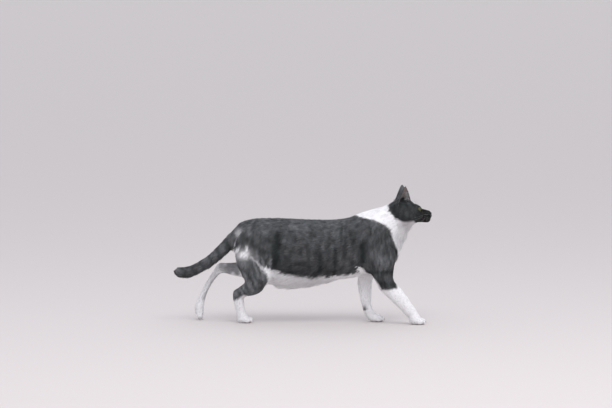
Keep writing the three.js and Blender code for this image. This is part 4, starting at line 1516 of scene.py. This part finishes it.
def add_whiskers(tree, flat, material):
    """Four rows of whiskers on each pad, and a few hairs over each eye."""
    each = [hair for side in SIDES.values() for hair in whiskers_of(side) + brow_hairs_of(side)]
    roots, ways, bends, lengths = (np.array(values, float) for values in zip(*each))
    ways = unit(ways + rng.normal(0, 0.05, ways.shape))
    roots, on_map = nearest_on_skin(from_head(roots), tree, flat)
    lengths = lengths * (0.92 + 0.16 * rng.random(len(lengths)))
    colours = np.full((len(roots), 3), WHISKERS["shade"])
    hairs = roots, ways @ HEAD_TURN.T, bends @ HEAD_TURN.T, lengths
    add_hairs("whiskers", hairs, WHISKERS, colours, on_map, material)


def add_claws(tree, flat, material):
    """The tips of the drawn-in claws of the flat paws; on the raised foot they are under the toes."""
    in_paw = np.array([np.add(toe, (0.72 * radii[0], 0, -0.5)) for toe, radii in TOES])
    flat_paws = [limb for limb, paw in PAWS.items() if paw["toes_down"] == 0]
    roots = np.concatenate([from_paw(in_paw, limb) for limb in flat_paws])
    count = len(roots)
    ways = np.repeat(unit(np.array([[1.0, 0, -0.2]])), count, axis=0)
    bends = np.repeat([[-0.15, 0, -0.6]], count, axis=0)
    hairs = roots, ways, bends, np.full(count, CLAWS["length"])
    _, on_map = nearest_on_skin(roots, tree, flat)
    colours = np.repeat([CLAWS["colour"]], count, axis=0)
    add_hairs("claws", hairs, CLAWS, colours, on_map, material)


def add_ear_hairs(tree, flat, material):
    """Long pale hairs from the front rim of each ear, across its mouth."""
    count = EAR_HAIRS["count"]
    ears = []
    for side in SIDES.values():
        root, rise, facing, across = ear_axes(side)
        across = across * side
        up = rng.uniform(0.12, 0.66, count)
        share = rng.uniform(-0.97, -0.62, count)
        narrowing = (1 - up) ** EAR["taper"]
        along = (share * EAR["half_width"] * narrowing)[:, None] * across
        sunk = (-EAR["cup"] * (1 - share * share) * narrowing)[:, None] * facing
        roots = root + up[:, None] * rise + along + sunk + 0.5 * facing
        way = 0.62 * across + 0.5 * unit(rise) + 0.42 * facing
        ways = unit(way + rng.normal(0, 0.12, (count, 3)))
        bends = np.repeat((0.18 * across - 0.30 * facing)[None], count, axis=0)
        ears.append((roots, ways, bends, (20 - 15 * up) * (0.8 + 0.4 * rng.random(count))))
    roots, ways, bends, lengths = (np.concatenate(values) for values in zip(*ears))
    roots = from_head(roots)
    _, on_map = nearest_on_skin(roots, tree, flat)
    shades = 1 + rng.normal(0, 0.12, (len(roots), 1))
    hairs = roots, ways @ HEAD_TURN.T, bends @ HEAD_TURN.T, lengths
    colours = np.full((len(roots), 3), EAR_HAIRS["shade"]) * shades
    add_hairs("ear_hairs", hairs, EAR_HAIRS, colours, on_map, material)


# ---------------------------------------------------------------- camera, floor and light


def add_camera():
    azimuth, elevation = math.radians(CAMERA["azimuth"]), math.radians(CAMERA["elevation"])
    flat = math.cos(elevation)
    forward = Vector((-math.sin(azimuth) * flat, math.cos(azimuth) * flat, -math.sin(elevation)))
    right = Vector((math.cos(azimuth), math.sin(azimuth), 0))
    up = right.cross(forward)
    data = bpy.data.cameras.new("camera")
    data.lens = CAMERA["lens"]
    data.sensor_width = CAMERA["sensor_width"]
    data.clip_end = CAMERA["clip_end"]
    camera = bpy.data.objects.new("camera", data)
    camera.matrix_world = Matrix((right, up, -forward)).transposed().to_4x4()
    camera.location = right * CAMERA["aside"] + up * CAMERA["up"] - forward * CAMERA["distance"]
    bpy.context.scene.collection.objects.link(camera)
    bpy.context.scene.camera = camera


def add_floor():
    half = FLOOR["half"]
    data = bpy.data.meshes.new("floor")
    corners = [(-half, -half, 0), (half, -half, 0), (half, half, 0), (-half, half, 0)]
    data.from_pydata(corners, [], [(0, 1, 2, 3)])
    material, _ = new_material("floor", {"Base Color": FLOOR["colour"], "Roughness": 0.9})
    data.materials.append(material)
    floor = bpy.data.objects.new("floor", data)
    bpy.context.scene.collection.objects.link(floor)


def add_key_light():
    data = bpy.data.lights.new("key", "AREA")
    data.energy = KEY_LIGHT["watts"]
    data.shape = "DISK"
    data.size = KEY_LIGHT["size"]
    light = bpy.data.objects.new("key", data)
    light.location = KEY_LIGHT["place"]
    light.rotation_mode = "QUATERNION"
    beam = Vector(KEY_LIGHT["target"]) - Vector(KEY_LIGHT["place"])
    light.rotation_quaternion = beam.to_track_quat("-Z", "Y")
    bpy.context.scene.collection.objects.link(light)


def add_world():
    world = bpy.data.worlds.new("world")
    world.use_nodes = True
    set_values(world.node_tree.nodes["Background"], SKY)
    bpy.context.scene.world = world
    bpy.context.scene.view_settings.view_transform = "Standard"


def add_skin(net, owner, piece_of_face, material):
    """The skin in one piece. Returns the coat pieces' parts of it laid out flat."""
    skin = mesh_object("skin", net.points, net.triangles, material)
    flat = unwrapped(net, piece_of_face, material)
    layer = skin.data.uv_layers.new(name="OFBake")
    layer.uv.foreach_set("vector", on_one_map(flat, piece_of_face).astype(np.float32).ravel())
    set_colours(skin, skin_colour(net.points, net.normals(), owner))
    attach(skin, "root")
    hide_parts(*(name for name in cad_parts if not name.startswith(("eye", "nose"))))
    return flat


def main():
    add_camera()
    add_world()
    add_floor()
    add_key_light()
    net, owner = shaped_skin()
    piece_of_face = pieces_of_faces(net, owner)
    fur = fur_material("fur", 0.62, 0.10, 0.3)
    flat = add_skin(net, owner, piece_of_face, fur_material("short_fur_on_skin", 0.7, 0.16, 0.8))
    tree = BVHTree.FromPolygons(net.points.tolist(), net.triangles.tolist())
    build_coat(net, owner, tree, piece_of_face, flat, fur)
    wet = glossy_material("wet_eye", 0.3, 0.45, 900, 0.0)
    for side_name in SIDES:
        add_eye(side_name, wet)
    add_nose(glossy_material("nose_leather", 0.5, 0.15, 2200, 0.8))
    hair = glossy_material("long_hair", 0.4, 0.0, 900, 0.1)
    add_whiskers(tree, flat, hair)
    add_claws(tree, flat, hair)
    add_ear_hairs(tree, flat, hair)


main()
